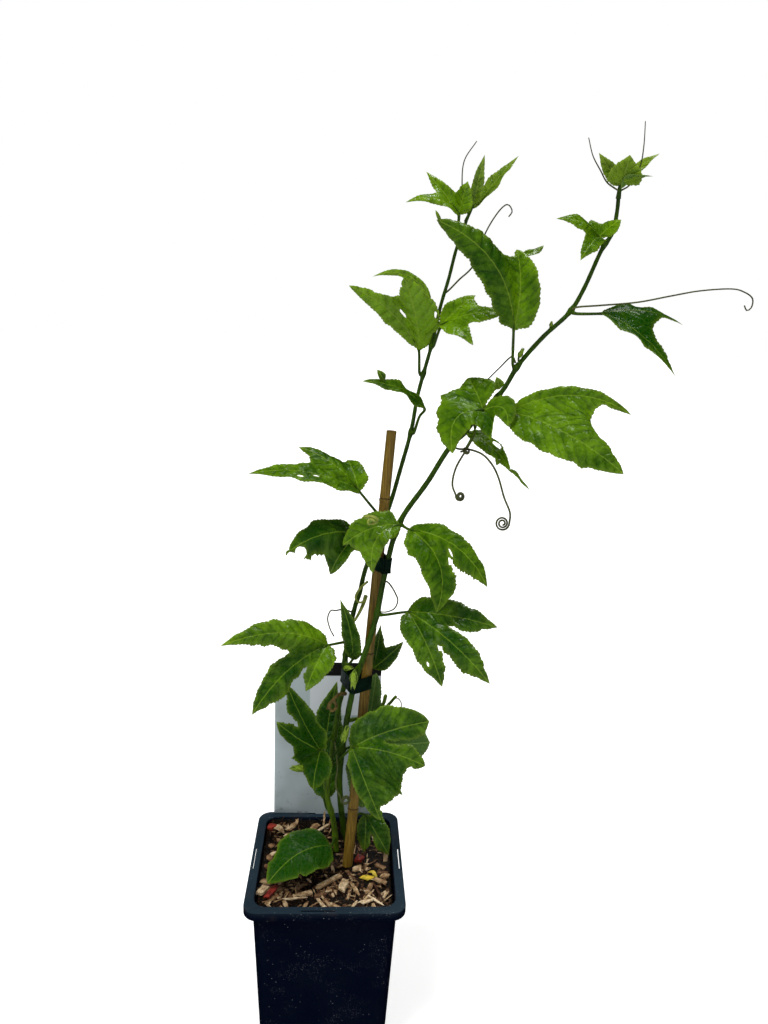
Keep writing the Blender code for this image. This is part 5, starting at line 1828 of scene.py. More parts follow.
@dataclass(frozen=True)
class Bunch:
    """Young leaves at a stem's end: their foot, their neck, the stalk's radius, blades and tendrils."""

    node: str
    foot: Point
    neck: Point
    radius: float
    blades: tuple[Leaf, ...]
    tendrils: tuple[tuple[Point, ...], ...]
    spacing: float = 1.1

    def build(self, finishes: Finishes, grower: RodGrower) -> None:
        """Build the young leaves with their stalk and tendrils, and seat them.

        Args:
            finishes: The shared finishes.
            grower: The tree that grows rods.
        """
        foot, neck = Vector(self.foot), Vector(self.neck)
        stalk = smooth_path((foot - (neck - foot).normalized() * 1.5, foot, neck), 1.5)
        rod = Rod(stalk, tapered(self.radius, self.radius * 0.65, len(stalk))).rounded()
        lines = [smooth_path(way, 1.5) for way in self.tendrils]
        threads = [Rod(line, tapered(0.6, 0.32, len(line)), tapered(0.0, 0.6, len(line))).rounded() for line in lines]
        parts = [grower.rods(f"{self.node}_young", [rod], 12, finishes.stalk),
                 grower.rods(f"{self.node}_threads", threads, 8, finishes.tendril)]
        for k, leaf in enumerate(self.blades):
            parts.append(Blade(leaf, 80 + k).solid(f"{self.node}_{k}", self.spacing, finishes, True))
        seat(joined(parts), Slot.YOUNG, self.node)


BUNCHES = (
    Bunch("crown_right", (194, 12, 672.3), (194, 11, 680), 1.9, (Leaf("right", 0, (193, 11, 680), (-0.4, -0.9, 0),
        (Lobe((176, 8, 699), 5, 2),), cup=0.5, tone=0.5, shine=0.4), Leaf("right", 0, (193, 9, 680), (0, -1, 0.1),
        (Lobe((195, 0, 697), 12, 3),), cup=0.3, tone=0.5, shine=0.4), Leaf("right", 0, (195, 12, 680),
        (-0.5, -0.7, 0.5), (Lobe((221, 16, 702), 4.5, 2),), cup=0.4, tone=0.6, shine=0.4), Leaf("right", 0,
        (195, 10, 678), (0.3, -0.3, 0.9), (Lobe((210, -6, 683), 6, 3),), cup=0.2, tone=0.45, shine=0.4)),
        (((193, 11, 676), (185, 12, 681), (179, 10, 688), (172, 8, 697), (168, 8, 708)), ((195, 11, 676),
        (202, 13, 681), (206, 9, 692), (206, 6, 704), (206, 8, 720)))),
    Bunch("crown_left_pair", (88, 12, 652.6), (92, 12, 662), 1.3, (Leaf("left", 0, (92, 12, 661), (-0.3, -0.95, 0),
        (Lobe((97, 6, 694), 4.5, 1),), cup=0.3, tone=0.4), Leaf("left", 0, (93, 12, 661), (-0.6, -0.7, 0.4),
        (Lobe((123, 20, 697), 6, 1),), cup=0.3, tone=0.45)), (((89, 12, 656), (86, 14, 664), (84, 16, 677),
        (85, 18, 692), (93, 20, 705)),)),
)


# Pot, potting mix, cane, ties and label


@dataclass
class Pot:
    """The square nursery pot, one moulded skin with a turned-out rim and four slots in it."""

    rim_width: float = 125.0
    rim_height: float = 145.0
    skirt: float = 7.0
    wall: float = 1.6
    top_width: float = 113.0
    base_width: float = 101.0
    ease: float = 0.9
    slot_length: float = 26.0
    slot_width: float = 1.3
    side_slot_width: float = 0.7
    slot_shift: float = 5.0
    slot_gap: float = 0.3

    def half(self, z: float) -> float:
        """Half the outer width of the pot's body at a height."""
        share = (z - self.wall) / (self.rim_height - self.wall)
        return (self.base_width + (self.top_width - self.base_width) * share) / 2

    def slot_middle(self) -> float:
        """How far a slot's middle lies from the pot's axis."""
        return self.rim_width / 2 - self.wall - self.slot_gap - self.slot_width / 2

    def rings(self) -> list[list[Point]]:
        """The rings of the skin, from the hollow's floor over the rim and down to the base.

        Returns:
            The rings, in order.
        """
        wall, ease, top = self.wall, self.ease, self.rim_height
        outer = self.rim_width / 2
        brim = self.half(top) - wall
        rows = [(self.half(wall) - wall - 2.0, 7.0, wall), (self.half(wall) - wall, 9.0, wall + 2.0)]
        rows += [(self.half(z) - wall, 9.0 + z / top, z) for z in (40.0, 90.0, 130.0)]
        turns = [radians(22.5 * k) for k in range(5)]
        rows += [(brim + ease * (1 - cos(turn)), 10.0, top - ease + ease * sin(turn)) for turn in turns]
        rows += [(outer - ease + ease * sin(turn), 11.0, top - ease + ease * cos(turn)) for turn in turns]
        lip = top - self.skirt
        rows += [(outer, 11.0, lip + 0.5), (outer - 0.15, 11.0, lip + 0.1), (outer - 0.5, 11.0, lip),
                 (outer - wall + 0.2, 10.0, lip), (outer - wall, 9.6, lip + 0.3), (outer - wall, 9.6, top - wall),
                 (self.half(top - wall) + 0.6, 10.2, top - wall), (self.half(top - wall), 10.0, top - wall - 0.6)]
        rows += [(self.half(z), 9.0 + z / top, z) for z in (130.0, 90.0, 40.0, 4.0)]
        rows += [(self.half(3.0) - 0.15, 9.0, 1.6), (self.half(2.0) - 0.9, 8.6, 0.4),
                 (self.half(1.0) - 2.2, 8.0, 0.0), (self.half(1.0) - 6.0, 7.0, 0.0),
                 (self.half(1.0) - 7.0, 6.6, 0.5)]
        return [rounded_square(half, corner, z) for half, corner, z in rows]

    def build(self) -> None:
        """Build the pot, cut its slots and seat it."""
        verts, faces = skin(self.rings())
        pot = new_object("nursery_pot", verts, faces)
        outward(pot)
        cutters = []
        for side, along in enumerate((-self.slot_shift, 0.0, self.slot_shift, 0.0)):
            turn = Matrix.Rotation(radians(90 * side), 4, "Z")
            centre = Vector((along, -self.slot_middle(), self.rim_height))
            radius = (self.side_slot_width if side % 2 else self.slot_width) / 2
            ring = [(end * x, end * y) for end in (1, -1)
                    for x, y in arc(self.slot_length / 2 - radius, 0.0, radius, -90, 30)]
            levels = [[turn @ (centre + Vector((x, y, z))) for x, y in ring] for z in (-4.0, 4.0)]
            cutters.append(new_object("slot_cutter", *skin(levels)))
        cutter = joined(cutters)
        outward(cutter)
        cut = pot.modifiers.new("slots", "BOOLEAN")
        cut.operation, cut.solver, cut.object = "DIFFERENCE", "EXACT", cutter
        plain_mesh(pot)
        bpy.data.objects.remove(cutter)
        pot.data.materials.clear()
        pot.data.materials.append(PlasticFinish().build())
        smooth(pot, 35.0)
        seat(pot, Slot.POT, "pot")


class Shape(Enum):
    """The shapes of the chips in the potting mix, each with its usual length, width and depth."""

    SPLINTER = (13.0, 1.25, 0.7)
    FLAKE = (8.0, 2.8, 0.8)
    BLOCK = (9.0, 2.3, 1.1)
    CRUMB = (2.8, 1.8, 1.5)
    CURL = (7.0, 1.8, 0.7)
    TWIG = (17.0, 0.8, 0.7)


class Wood(Enum):
    """The kinds of bits in the potting mix by their colour."""

    TAN = 0
    RED = 1
    YELLOW = 2


RING_SQUARE = ((0.5, 0.42), (-0.46, 0.5), (-0.5, -0.42), (0.46, -0.5))
RING_ROUND = ((0.5, 0.35), (0.12, 0.5), (-0.5, 0.4), (-0.5, -0.35), (0.05, -0.5), (0.5, -0.4))


@dataclass
class ChipMaker:
    """Makes single chips of wood and bark, with a grain map that runs along them."""

    rng: random.Random

    def sections(self, shape: Shape, size: Point) -> list[list[Point]]:
        """Give a chip's cross-sections from end to end.

        Args:
            shape: The kind of chip.
            size: Its length, width and depth.

        Returns:
            Rings of points, along X.
        """
        length, width, depth = size
        last = 4 if shape is Shape.CURL else 3
        slant = self.rng.uniform(-0.5, 0.5) * width
        rough = 0.4 if shape in (Shape.BLOCK, Shape.SPLINTER) else 1.0
        far = {Shape.CRUMB: 0.45, Shape.FLAKE: 0.62, Shape.BLOCK: 0.93}.get(shape, 0.35)
        near = 0.8 if shape in (Shape.SPLINTER, Shape.TWIG) else far
        rings = []
        for i in range(last + 1):
            t = i / last
            end, skew = {0: (near, 0.9), last: (far, 0.9)}.get(i, (1.0, 0.3))
            bow = 0.25 * length * sin(pi * t) if shape is Shape.CURL else 0.0
            lean = self.rng.uniform(-0.10, 0.10) * width * rough
            rings.append([])
            for x, z in RING_ROUND if shape is Shape.CRUMB else RING_SQUARE:
                jitter = end * (1 + self.rng.uniform(-0.16, 0.16) * rough)
                rings[-1].append(((t - 0.5) * length + slant * x * skew, x * width * jitter + lean,
                                  z * depth * jitter + bow))
        return rings

    def make(self, name: str, shape: Shape, size: Point | None = None) -> Object:
        """Make a chip about the origin.

        Args:
            name: The object's name.
            shape: The kind of chip.
            size: Its length, width and depth where they aren't the usual ones.

        Returns:
            The chip, lying along X.
        """
        chip = new_object(name, *skin(self.sections(shape, size or shape.value)))
        outward(chip)
        grain = chip.data.uv_layers.new(name="grain")
        shift = self.rng.uniform(0, 9)
        for loop in chip.data.loops:
            at = chip.data.vertices[loop.vertex_index].co / MM
            grain.uv[loop.index].vector = (at.x * 0.1 + shift, (at.y + at.z) * 0.1 + shift)
        smooth(chip, 20.0)
        return chip


@dataclass(frozen=True)
class Laid:
    """A chip laid one by one: its shape, place, lift, turn, size, shade, tip and wood."""

    shape: Shape
    x: float
    y: float
    lift: float
    turn: float
    size: Point
    tint: float
    tip: float = 0.0
    wood: Wood = Wood.TAN


SPLINTER, FLAKE, BLOCK, CRUMB, CURL, TWIG = Shape
LAID_CHIPS = tuple(Laid(*row) for row in (
    (BLOCK, 2, -18, 1.8, 35, (24.3, 4.4, 1.8), 0.9, 3), (BLOCK, 14.2, -23, 1.7, 73, (13.2, 6.4, 1.8), 0.95, -4),
    (BLOCK, -18.3, -32.2, 1.4, 17, (15.4, 4.2, 1.7), 0.88, 3), (BLOCK, -50, -32.2, 2.2, 63, (10.5, 6, 2.4), 0.96, -6),
    (SPLINTER, -1.7, -44.1, 1.8, -55, (15.5, 2.6, 1.2), 1, -8), (SPLINTER, 0.9, -41.8, 1.2, -57, (15, 1.8, 1), 0.84),
    (SPLINTER, 21.8, -45.3, 1.4, 59, (13.5, 2.4, 1.1), 0.96, 5), (FLAKE, 30.4, -42.8, 2, 19, (14, 3.8, 1), 1, 4),
    (SPLINTER, 39.8, -41.1, 2.8, -42, (16, 1.9, 0.9), 1.05), (TWIG, 42.6, -33.6, 3.6, -71, (27, 1.4, 1.2), 0.55, 2),
    (TWIG, 48, -39, 3, 50, (16.5, 1.2, 1), 0.92, -6), (SPLINTER, 23.9, -27, 1.2, -66, (14.5, 3, 1.2), 0.9),
    (BLOCK, 35.2, -25.3, 1.2, 69, (12.8, 3.8, 1.4), 0.84), (BLOCK, 44.3, -18.7, 1.4, -28, (11, 3.7, 1.5), 0.86),
    (SPLINTER, -2.8, 44.5, 2.6, 49, (19, 2.6, 1.1), 1, -5), (FLAKE, -33.4, 47, 2.2, 29, (15, 8, 1.3), 0.86, 14),
    (FLAKE, -13.8, 45, 1.8, 29, (12, 7, 1.3), 0.8, 12), (CURL, -44, 40, 2, -31, (13.5, 5, 1.3), 0.94),
    (FLAKE, -46.6, 10.5, 1.6, 31, (8.5, 3.6, 1.3), 0.98, 10), (FLAKE, 25.3, -2.6, 1.8, 20, (8, 5.6, 1.5), 0.9, 8),
    (CRUMB, 48.5, -12.8, 1.8, 31, (7.5, 5, 2.6), 0.88), (BLOCK, 15.5, -41.6, 1, 74, (11.5, 3, 1.4), 0.66),
    (BLOCK, -41.5, -38.5, 1.2, 48, (12.5, 4, 1.8), 0.72), (BLOCK, 5, -27.2, 0.9, -29, (10, 4.5, 1.4), 0.76),
    (BLOCK, -4.8, -33.4, 1, 25, (8.5, 3.8, 1.6), 0.72), (SPLINTER, -15.3, -44.1, 1.4, 68, (10, 2.8, 1.4), 0.82),
    (SPLINTER, -8.6, -45.2, 1.4, 40, (10.5, 1.6, 1), 0.8), (BLOCK, 8.9, -46.6, 1.2, -32, (11, 3, 1.4), 0.9),
    (BLOCK, -39.2, -29.2, 1.2, 26, (8.5, 3.2, 1.4), 0.8), (SPLINTER, -2.8, 2.8, 1.4, 29, (11.5, 1.9, 1), 0.94),
    (BLOCK, 19, -9.3, 1.4, -60, (9, 3.2, 1.4), 0.7), (BLOCK, -20.5, -23.6, 1.2, 47, (8.5, 2.9, 1.4), 0.78),
    (SPLINTER, -30.7, -45.7, 1.4, -69, (9, 3.2, 1.4), 0.88), (SPLINTER, -23.5, -38.4, 2, 7, (18.5, 1.6, 1), 0.98),
    (BLOCK, -47.5, -22.4, 1.6, -15, (9.5, 4.6, 1.8), 0.86), (BLOCK, 45, 0.4, 1.4, -34, (9.5, 3.9, 1.6), 0.76),
    (BLOCK, 46.5, -7.3, 1.2, -8, (9, 3.5, 1.6), 0.72), (SPLINTER, 19.1, -30.5, 1.3, 79, (13, 2.6, 1.2), 0.86),
    (CRUMB, -49, 21.4, 1.6, 44, (8, 6, 2.8), 0.8), (CRUMB, -49, 6.4, 1.4, -38, (8.5, 5.4, 2.6), 0.76),
    (BLOCK, -47.5, -5.8, 1.4, -29, (10.5, 3.8, 1.8), 0.74), (SPLINTER, 34.6, -34.2, 1.6, 56, (15.5, 2, 1.1), 0.92),
    (FLAKE, 46.5, -31.5, 1.2, 46, (11.5, 4.8, 1.3), 0.94, 6),
    (SPLINTER, 38.5, -46.8, 1.4, -76, (9.5, 2.4, 1.2), 0.94), (TWIG, -4, 49.5, 6, 80, (15, 1.8, 1.4), 0.93, 70),
    (TWIG, 1.5, 47, 4.5, 60, (10, 1.6, 1.4), 0.8, 62), (BLOCK, 50, 9, 4.5, 80, (12, 3.6, 1.4), 0.95, 52),
    (FLAKE, -22, 38, 1.8, 70, (9, 4, 1.4), 0.9, 10), (CRUMB, 27, -53.5, 7.6, 20, (7, 6, 5), 0.4),
    (BLOCK, -43, -33.6, 2.4, 62, (13.5, 4.6, 1.6), 0.5, 4, Wood.RED),
    (CRUMB, 27.5, 8, 2.6, 10, (8, 7, 5), 0.5, 0, Wood.RED), (CRUMB, -49.5, 42, 2.2, 30, (8, 6, 4), 0.5, 0, Wood.RED),
    (CRUMB, 49, 41, 2.4, 60, (6, 5, 4), 0.5, 0, Wood.RED),
    (FLAKE, 33.5, -13.6, 2.6, -22, (11, 5.2, 0.9), 0.5, 10, Wood.YELLOW),
    (CURL, 38, -11.6, 2.4, -40, (9, 3, 0.8), 0.5, 0, Wood.YELLOW),
))


@dataclass
class PottingMix:
    """The potting mix: a crumbly block that fills the pot, and the chips on top of it."""

    pot: Pot
    top: float = SOIL_TOP
    fit: float = 0.4
    grid: float = 1.6
    back_heap: float = 5.0
    side_heap: float = 3.2
    seed: int = 7
    laid: tuple[Laid, ...] = LAID_CHIPS

    def height(self, x: float, y: float) -> float:
        """The height of the mix at a place, in mounds with crumbs on them.

        Args:
            x: How far to the right.
            y: How far back.

        Returns:
            The height.
        """
        mounds = sin(0.21 * x + 0.9) * cos(0.17 * y) + 0.5 * sin(0.31 * (x + y))
        crumbs = noise.noise(Vector((x / 6.0, y / 6.0, 2.0))) + 0.6 * noise.noise(Vector((x / 2.4, y / 2.4, 9.0)))
        heap = self.back_heap * eased((y - 18.0) / 34.0) + self.side_heap * eased((-x - 22.0) / 30.0)
        return self.top - 0.6 + 1.1 * mounds + 1.1 * crumbs + heap

    def bed(self, half: float, name: str) -> Object:
        """The top of the mix alone, as an open sheet to strew chips on.

        Args:
            half: Half the sheet's width.
            name: Its name.

        Returns:
            The sheet.
        """
        count = int(2 * half / self.grid)
        verts = []
        for j in range(count + 1):
            for i in range(count + 1):
                x, y = -half + 2 * half * i / count, -half + 2 * half * j / count
                verts.append((x, y, self.height(x, y)))
        row = count + 1
        faces = [(j * row + i, j * row + i + 1, (j + 1) * row + i + 1, (j + 1) * row + i)
                 for j in range(count) for i in range(count)]
        return new_object(name, verts, faces)

    def block(self) -> Object:
        """The block of mix, with its top, sides and base closed.

        Returns:
            The block.
        """
        low_z = self.pot.wall + self.fit
        high = self.pot.half(self.top) - self.pot.wall - self.fit
        low = self.pot.half(low_z) - self.pot.wall - self.fit
        rings = [rounded_square(low - 1.0, 6.0, low_z), rounded_square(low, 8.0, low_z + 1.0),
                 [(x, y, self.height(x, y) - 1.5) for x, y, _ in rounded_square(high, 9.6, 0.0)]]
        steps = 34
        for k in range(1, steps):
            half = high * (1 - k / steps)
            corner = max(9.6 * (1 - k / steps), 0.2)
            rings.append([(x, y, self.height(x, y)) for x, y, _ in rounded_square(half, corner, 0.0)])
        return dressed(new_object("potting_mix_block", *skin(rings)), MixFinish().build(), 60.0)

    def strewn(self, bed: Object, shapes: Sequence[Shape], grower: ChipGrower,
               material: Material, values: dict[str, object]) -> Object:
        """Strew chips over a bed.

        Args:
            bed: The open sheet, which turns into the chips.
            shapes: The kinds of chip.
            grower: The tree that strews them.
            material: Their material.
            values: The tree's other inputs.

        Returns:
            The chips.
        """
        maker = ChipMaker(random.Random(values["Seed"]))
        group = bpy.data.collections.new(bed.name + "_shapes")
        chips = []
        for k, shape in enumerate(shapes):
            chip = maker.make(f"{bed.name}_{k}", shape)
            bpy.context.scene.collection.objects.unlink(chip)
            group.objects.link(chip)
            chips.append(chip)
        grower.grow(bed, {"Shapes": group, "Material": material, **values})
        for chip in chips:
            bpy.data.objects.remove(chip)
        bpy.data.collections.remove(group)
        return bed

    def by_hand(self, woods: dict[Wood, Material]) -> list[Object]:
        """Lay the chips that have places of their own.

        Args:
            woods: The material of each kind.

        Returns:
            The chips.
        """
        maker = ChipMaker(random.Random(self.seed + 5))
        made = []
        for k, laid in enumerate(self.laid):
            chip = maker.make(f"laid_chip_{k}", laid.shape, laid.size)
            turn = Matrix.Rotation(radians(laid.turn), 4, "Z") @ Matrix.Rotation(radians(-laid.tip), 4, "Y")
            place = Vector((laid.x, laid.y, self.height(laid.x, laid.y) + laid.lift)) * MM
            chip.data.transform(Matrix.Translation(place) @ turn)
            carry(chip, "tint", [laid.tint] * len(chip.data.vertices))
            chip.data.materials.append(woods[laid.wood])
            made.append(chip)
        return made

    def build(self) -> None:
        """Build the block and its chips, and seat them."""
        seat(self.block(), Slot.MIX, "soil")
        woods = {Wood.TAN: ChipFinish().build(),
                 Wood.RED: TintFinish("red_bark", (0.26, 0.028, 0.016), (0.075, 0.010, 0.008), 0.6).build(),
                 Wood.YELLOW: TintFinish("yellow_scrap", (0.62, 0.42, 0.030), (0.36, 0.30, 0.035), 0.5).build()}
        strewer = ChipGrower()
        half = self.pot.half(self.top) - self.pot.wall
        pieces = [
            self.strewn(self.bed(half - 2.0, "bark_crumbs"), (CRUMB, SPLINTER, CRUMB, BLOCK), strewer,
                        woods[Wood.TAN], {"Per Area": 185000.0, "Seed": 3, "Smallest": 0.3, "Largest": 0.8,
                                          "Tip": 0.8, "Sink": 0.0003, "Palest": 0.80}),
            self.strewn(self.bed(half - 6.0, "bark_chips"), (SPLINTER, FLAKE, BLOCK, TWIG, SPLINTER, CURL, SPLINTER),
                        strewer, woods[Wood.TAN],
                        {"Per Area": 92000.0, "Seed": 11, "Smallest": 0.3, "Largest": 0.9, "Tip": 0.5,
                         "Sink": -0.0003, "Palest": 0.98})]
        laid = joined(self.by_hand(woods))
        laid.name = "large_chips"
        for piece in (*pieces, laid):
            smooth(piece, 20.0)
            seat(piece, Slot.MIX)


@dataclass
class Cane:
    """The bamboo cane, with raised joints and a hollow cut top."""

    foot: Point = (10.1, 1.9, 24.0)
    top: Point = (40.8, 5.0, 504.0)
    radii: Flat = (4.3, 3.7)
    joints: tuple[float, ...] = (190.0, 328.0, 452.0)
    joint_shape: tuple[Point, ...] = ((0.42, 0.0, 1.1), (0.22, 2.4, 0.9), (-0.25, 1.5, 0.45))
    joint_stain: Flat = (1.2, 0.6)
    sides: int = 28
    step: float = 3.0
    hollow: float = 1.3
    depth: float = 5.0

    def at_height(self, z: float) -> tuple[Vector, float]:
        """The cane's middle and its plain radius at a height."""
        share = (z - self.foot[2]) / (self.top[2] - self.foot[2])
        return Vector(self.foot).lerp(Vector(self.top), share), self.radii[0] + (self.radii[1] - self.radii[0]) * share

    def axes(self) -> tuple[Vector, Vector, Vector]:
        """Two directions square to the cane, and its own.

        Returns:
            The three directions.
        """
        axis = (Vector(self.top) - Vector(self.foot)).normalized()
        across = Vector((0.0, 1.0, 0.0)).cross(axis).normalized()
        return across, axis.cross(across), axis

    def profile(self, z: float) -> Flat:
        """The cane's radius at a height, with its joints, and how near a joint it is.

        Args:
            z: The height.

        Returns:
            The radius, and the nearness from 0 to 1.
        """
        radius = self.at_height(z)[1] * (1 + 0.008 * sin(z / 9.0))
        near = 0.0
        for joint in self.joints:
            radius += sum(height * swell(z - joint, shift, reach) for height, shift, reach in self.joint_shape)
            near = max(near, swell(z - joint, *self.joint_stain))
        return radius, near

    def build(self) -> None:
        """Build the cane and seat it."""
        heights = set(np.arange(self.foot[2], self.top[2] - 0.4, self.step).tolist())
        for joint in self.joints:
            heights.update((joint + 0.3 * k) for k in range(-9, 20))
        rows = [(z, *self.profile(z)) for z in sorted(heights)]
        end, tip_radius, hollow = self.top[2], self.radii[1], self.hollow
        rows += [(end - 0.35, tip_radius, 0.15), (end - 0.05, tip_radius - 0.15, 0.3), (end, tip_radius - 0.4, 0.35),
                 (end - 0.1, hollow + 0.2, 0.6), (end - 0.6, hollow, 0.9), (end - self.depth, hollow * 0.8, 1.0)]
        across, ahead, _ = self.axes()
        rings = []
        for z, radius, _ in rows:
            middle = self.at_height(z)[0]
            ring = []
            for i in range(self.sides):
                angle = 2 * pi * i / self.sides
                flat = 1 + 0.012 * sin(2 * angle + 0.6) + 0.006 * sin(3 * angle + z / 70.0)
                ring.append(tuple(middle + (across * cos(angle) + ahead * sin(angle)) * radius * flat))
            rings.append(ring)
        cane = new_object("bamboo_stake", *skin(rings))
        carry(cane, "joint", [row[2] * 0.8 for row in rows for _ in range(self.sides)])
        seat(dressed(cane, BambooFinish().build(), 38.0), Slot.CANE, "bamboo_cane")


@dataclass
class Tie:
    """A band of stretched tape, wound a little more than once round the cane and the stems."""

    node: str
    height: float
    stems: tuple[Stem, ...]
    cane: Cane
    width: float = 11.5
    thick: float = 0.45
    turns: float = 1.22
    start: float = 0.12
    fit: float = 0.1
    count: int = 120
    rows: int = 9

    def hull(self, points: Sequence[Flat]) -> list[Flat]:
        """The corners of the smallest convex outline round flat points, anticlockwise.

        Args:
            points: The points.

        Returns:
            The corners.
        """
        points = sorted(set(points))
        chains = []
        for ordered in (points, points[::-1]):
            chain = []
            for p in ordered:
                while len(chain) > 1:
                    (ax, ay), (bx, by) = chain[-2], chain[-1]
                    if (bx - ax) * (p[1] - ay) - (by - ay) * (p[0] - ax) > 0:
                        break
                    chain.pop()
                chain.append(p)
            chains.append(chain[:-1])
        return chains[0] + chains[1]

    def outline(self) -> list[Vector]:
        """The band's inner line on a flat plane, in even steps, with its first point again at the end.

        Returns:
            The line's points.
        """
        centre = self.cane.at_height(self.height)[0]
        across, ahead, _ = self.cane.axes()
        points = []
        for level in (-1.0, 0.0, 1.0):
            z = self.height + level * self.width / 2
            members = [self.cane.at_height(z)]
            members += [(stem.at_height(z)[0], stem.at_height(z)[2] * STEM_SLIMNESS) for stem in self.stems]
            for place, radius in members:
                away = place - centre
                points += arc(away.dot(across), away.dot(ahead), radius + self.fit, 0, 10, 36)
        corners = [Vector((*p, 0.0)) for p in self.hull(points)]
        corners.append(corners[0])
        marks = marks_along(corners)
        return [on_line(corners, marks, marks[-1] * i / self.count)[0] for i in range(self.count + 1)]

    def build(self) -> None:
        """Build the wound band and seat it."""
        across, ahead, axis = self.cane.axes()
        centre = self.cane.at_height(self.height)[0]
        line, count, rows = self.outline(), self.count, self.rows
        steps = int(count * self.turns)
        inner, outer = [], []
        for i in range(steps + 1):
            at = (self.start * count + i) % count
            k = int(at)
            flat = line[k].lerp(line[k + 1], at - k)
            way = (line[k + 1] - line[k]).normalized()
            away = Vector((way.y, -way.x, 0.0))
            lap = eased((i - count * 0.80) / (count * 0.2)) * (self.thick + 0.12)
            tail = 0.8 * eased((i - steps + 7) / 7.0)
            for j in range(rows):
                v = j / (rows - 1) - 0.5
                crease = 0.22 * abs(noise.noise(Vector((i / 9.0, v * 1.6, self.height))))
                crease += 0.15 * abs(noise.noise(Vector((i / 3.5, v * 5.0, self.height + 5))))
                lift = lap + tail + crease + 0.25 * (2 * abs(v)) ** 4
                gather = 1 - 0.07 * noise.noise(Vector((i / 14.0, 0.0, self.height + 9)))
                for rows_out, extra in ((inner, 0.0), (outer, self.thick)):
                    p = flat + away * (lift + extra)
                    rows_out.append(centre + across * p.x + ahead * p.y + axis * (v * self.width * gather))
        faces, shift = [], len(inner)
        for low in range(0, steps * rows, rows):
            for a in range(low, low + rows - 1):
                quad = (a, a + rows, a + rows + 1, a + 1)
                faces += [quad, tuple(shift + k for k in reversed(quad))]
            faces += [(a, a + rows, shift + a + rows, shift + a) for a in (low, low + rows - 1)]
        faces += [(a, a + 1, shift + a + 1, shift + a)
                  for low in (0, steps * rows) for a in range(low, low + rows - 1)]
        tie = new_object(f"{self.node}_tape", inner + outer, faces)
        seat(dressed(tie, TapeFinish().build(), 50.0), Slot.TIE, self.node)


@dataclass
class Label:
    """The card on the back of the rim, with round corners, a slight curl and a tab in the slot."""

    pot: Pot
    width: float = 92.0
    height: float = 148.0
    thick: float = 0.7
    corner: float = 3.0
    lean: float = 0.3
    tab: Flat = (17.0, 26.0)
    middle: float = -3.5
    gap: float = 0.3

    def outline(self) -> list[Flat]:
        """The card's outline with its tab, anticlockwise, on X across and Z up.

        Returns:
            The points.
        """
        half, tab, depth, r = self.width / 2, self.tab[0] / 2, self.tab[1], self.corner
        top, nick = self.height - r, 0.6
        return [(-tab, 0.0), *arc(r - tab, r - depth, r, 180), *arc(tab - r, r - depth, r, 270), (tab, 0.0),
                (half - nick, 0.0), (half, nick), *arc(half - r, top, r, 0), *arc(r - half, top, r, 90),
                (-half, nick), (nick - half, 0.0)]

    def build(self) -> None:
        """Build the card and seat it."""
        outline = np.array(self.outline())
        low, high = outline.min(axis=0), outline.max(axis=0)
        spots = np.array([(x, y) for x in np.arange(low[0] + 3, high[0], 6.0)
                          for y in np.arange(low[1] + 3, high[1], 6.0)])
        spots = spots[within(spots, outline)]
        spots = spots[clearance(spots, outline) > 2.0]
        flat = [Vector(p) for p in outline.tolist() + spots.tolist()]
        loop = [(i, (i + 1) % len(outline)) for i in range(len(outline))]
        points, _, faces, *_ = delaunay_2d_cdt(flat, loop, [], 1, 1e-6)
        lean = radians(self.lean)
        lift = self.pot.rim_height + self.width / 2 * abs(sin(lean)) + self.gap
        verts = []
        for p in points:
            up = max(p.y, 0.0) / self.height
            curl = 1.1 * up * (2 * p.x / self.width) ** 2 - 0.5 * sin(pi * up)
            x = p.x * cos(lean) + p.y * sin(lean)
            z = p.y * cos(lean) - p.x * sin(lean)
            verts.append((self.middle + x, self.pot.slot_middle() + curl, lift + z))
        card = new_object("label_card_blank", verts, faces)
        wall = card.modifiers.new("thickness", "SOLIDIFY")
        wall.thickness, wall.offset = self.thick * MM, 0.0
        edge = card.modifiers.new("edge", "BEVEL")
        edge.width, edge.segments, edge.limit_method = 0.15 * MM, 2, "ANGLE"
        plain_mesh(card)
        seat(dressed(card, CardFinish().build(), 40.0), Slot.LABEL, "plant_label")


# Camera, light and floor


@dataclass(frozen=True)
class Lamp:
    """A far lamp: the direction it shines from, its angle, its power, and whether it is mirrored."""

    name: str
    source: Point
    angle: float
    power: float
    shine: bool


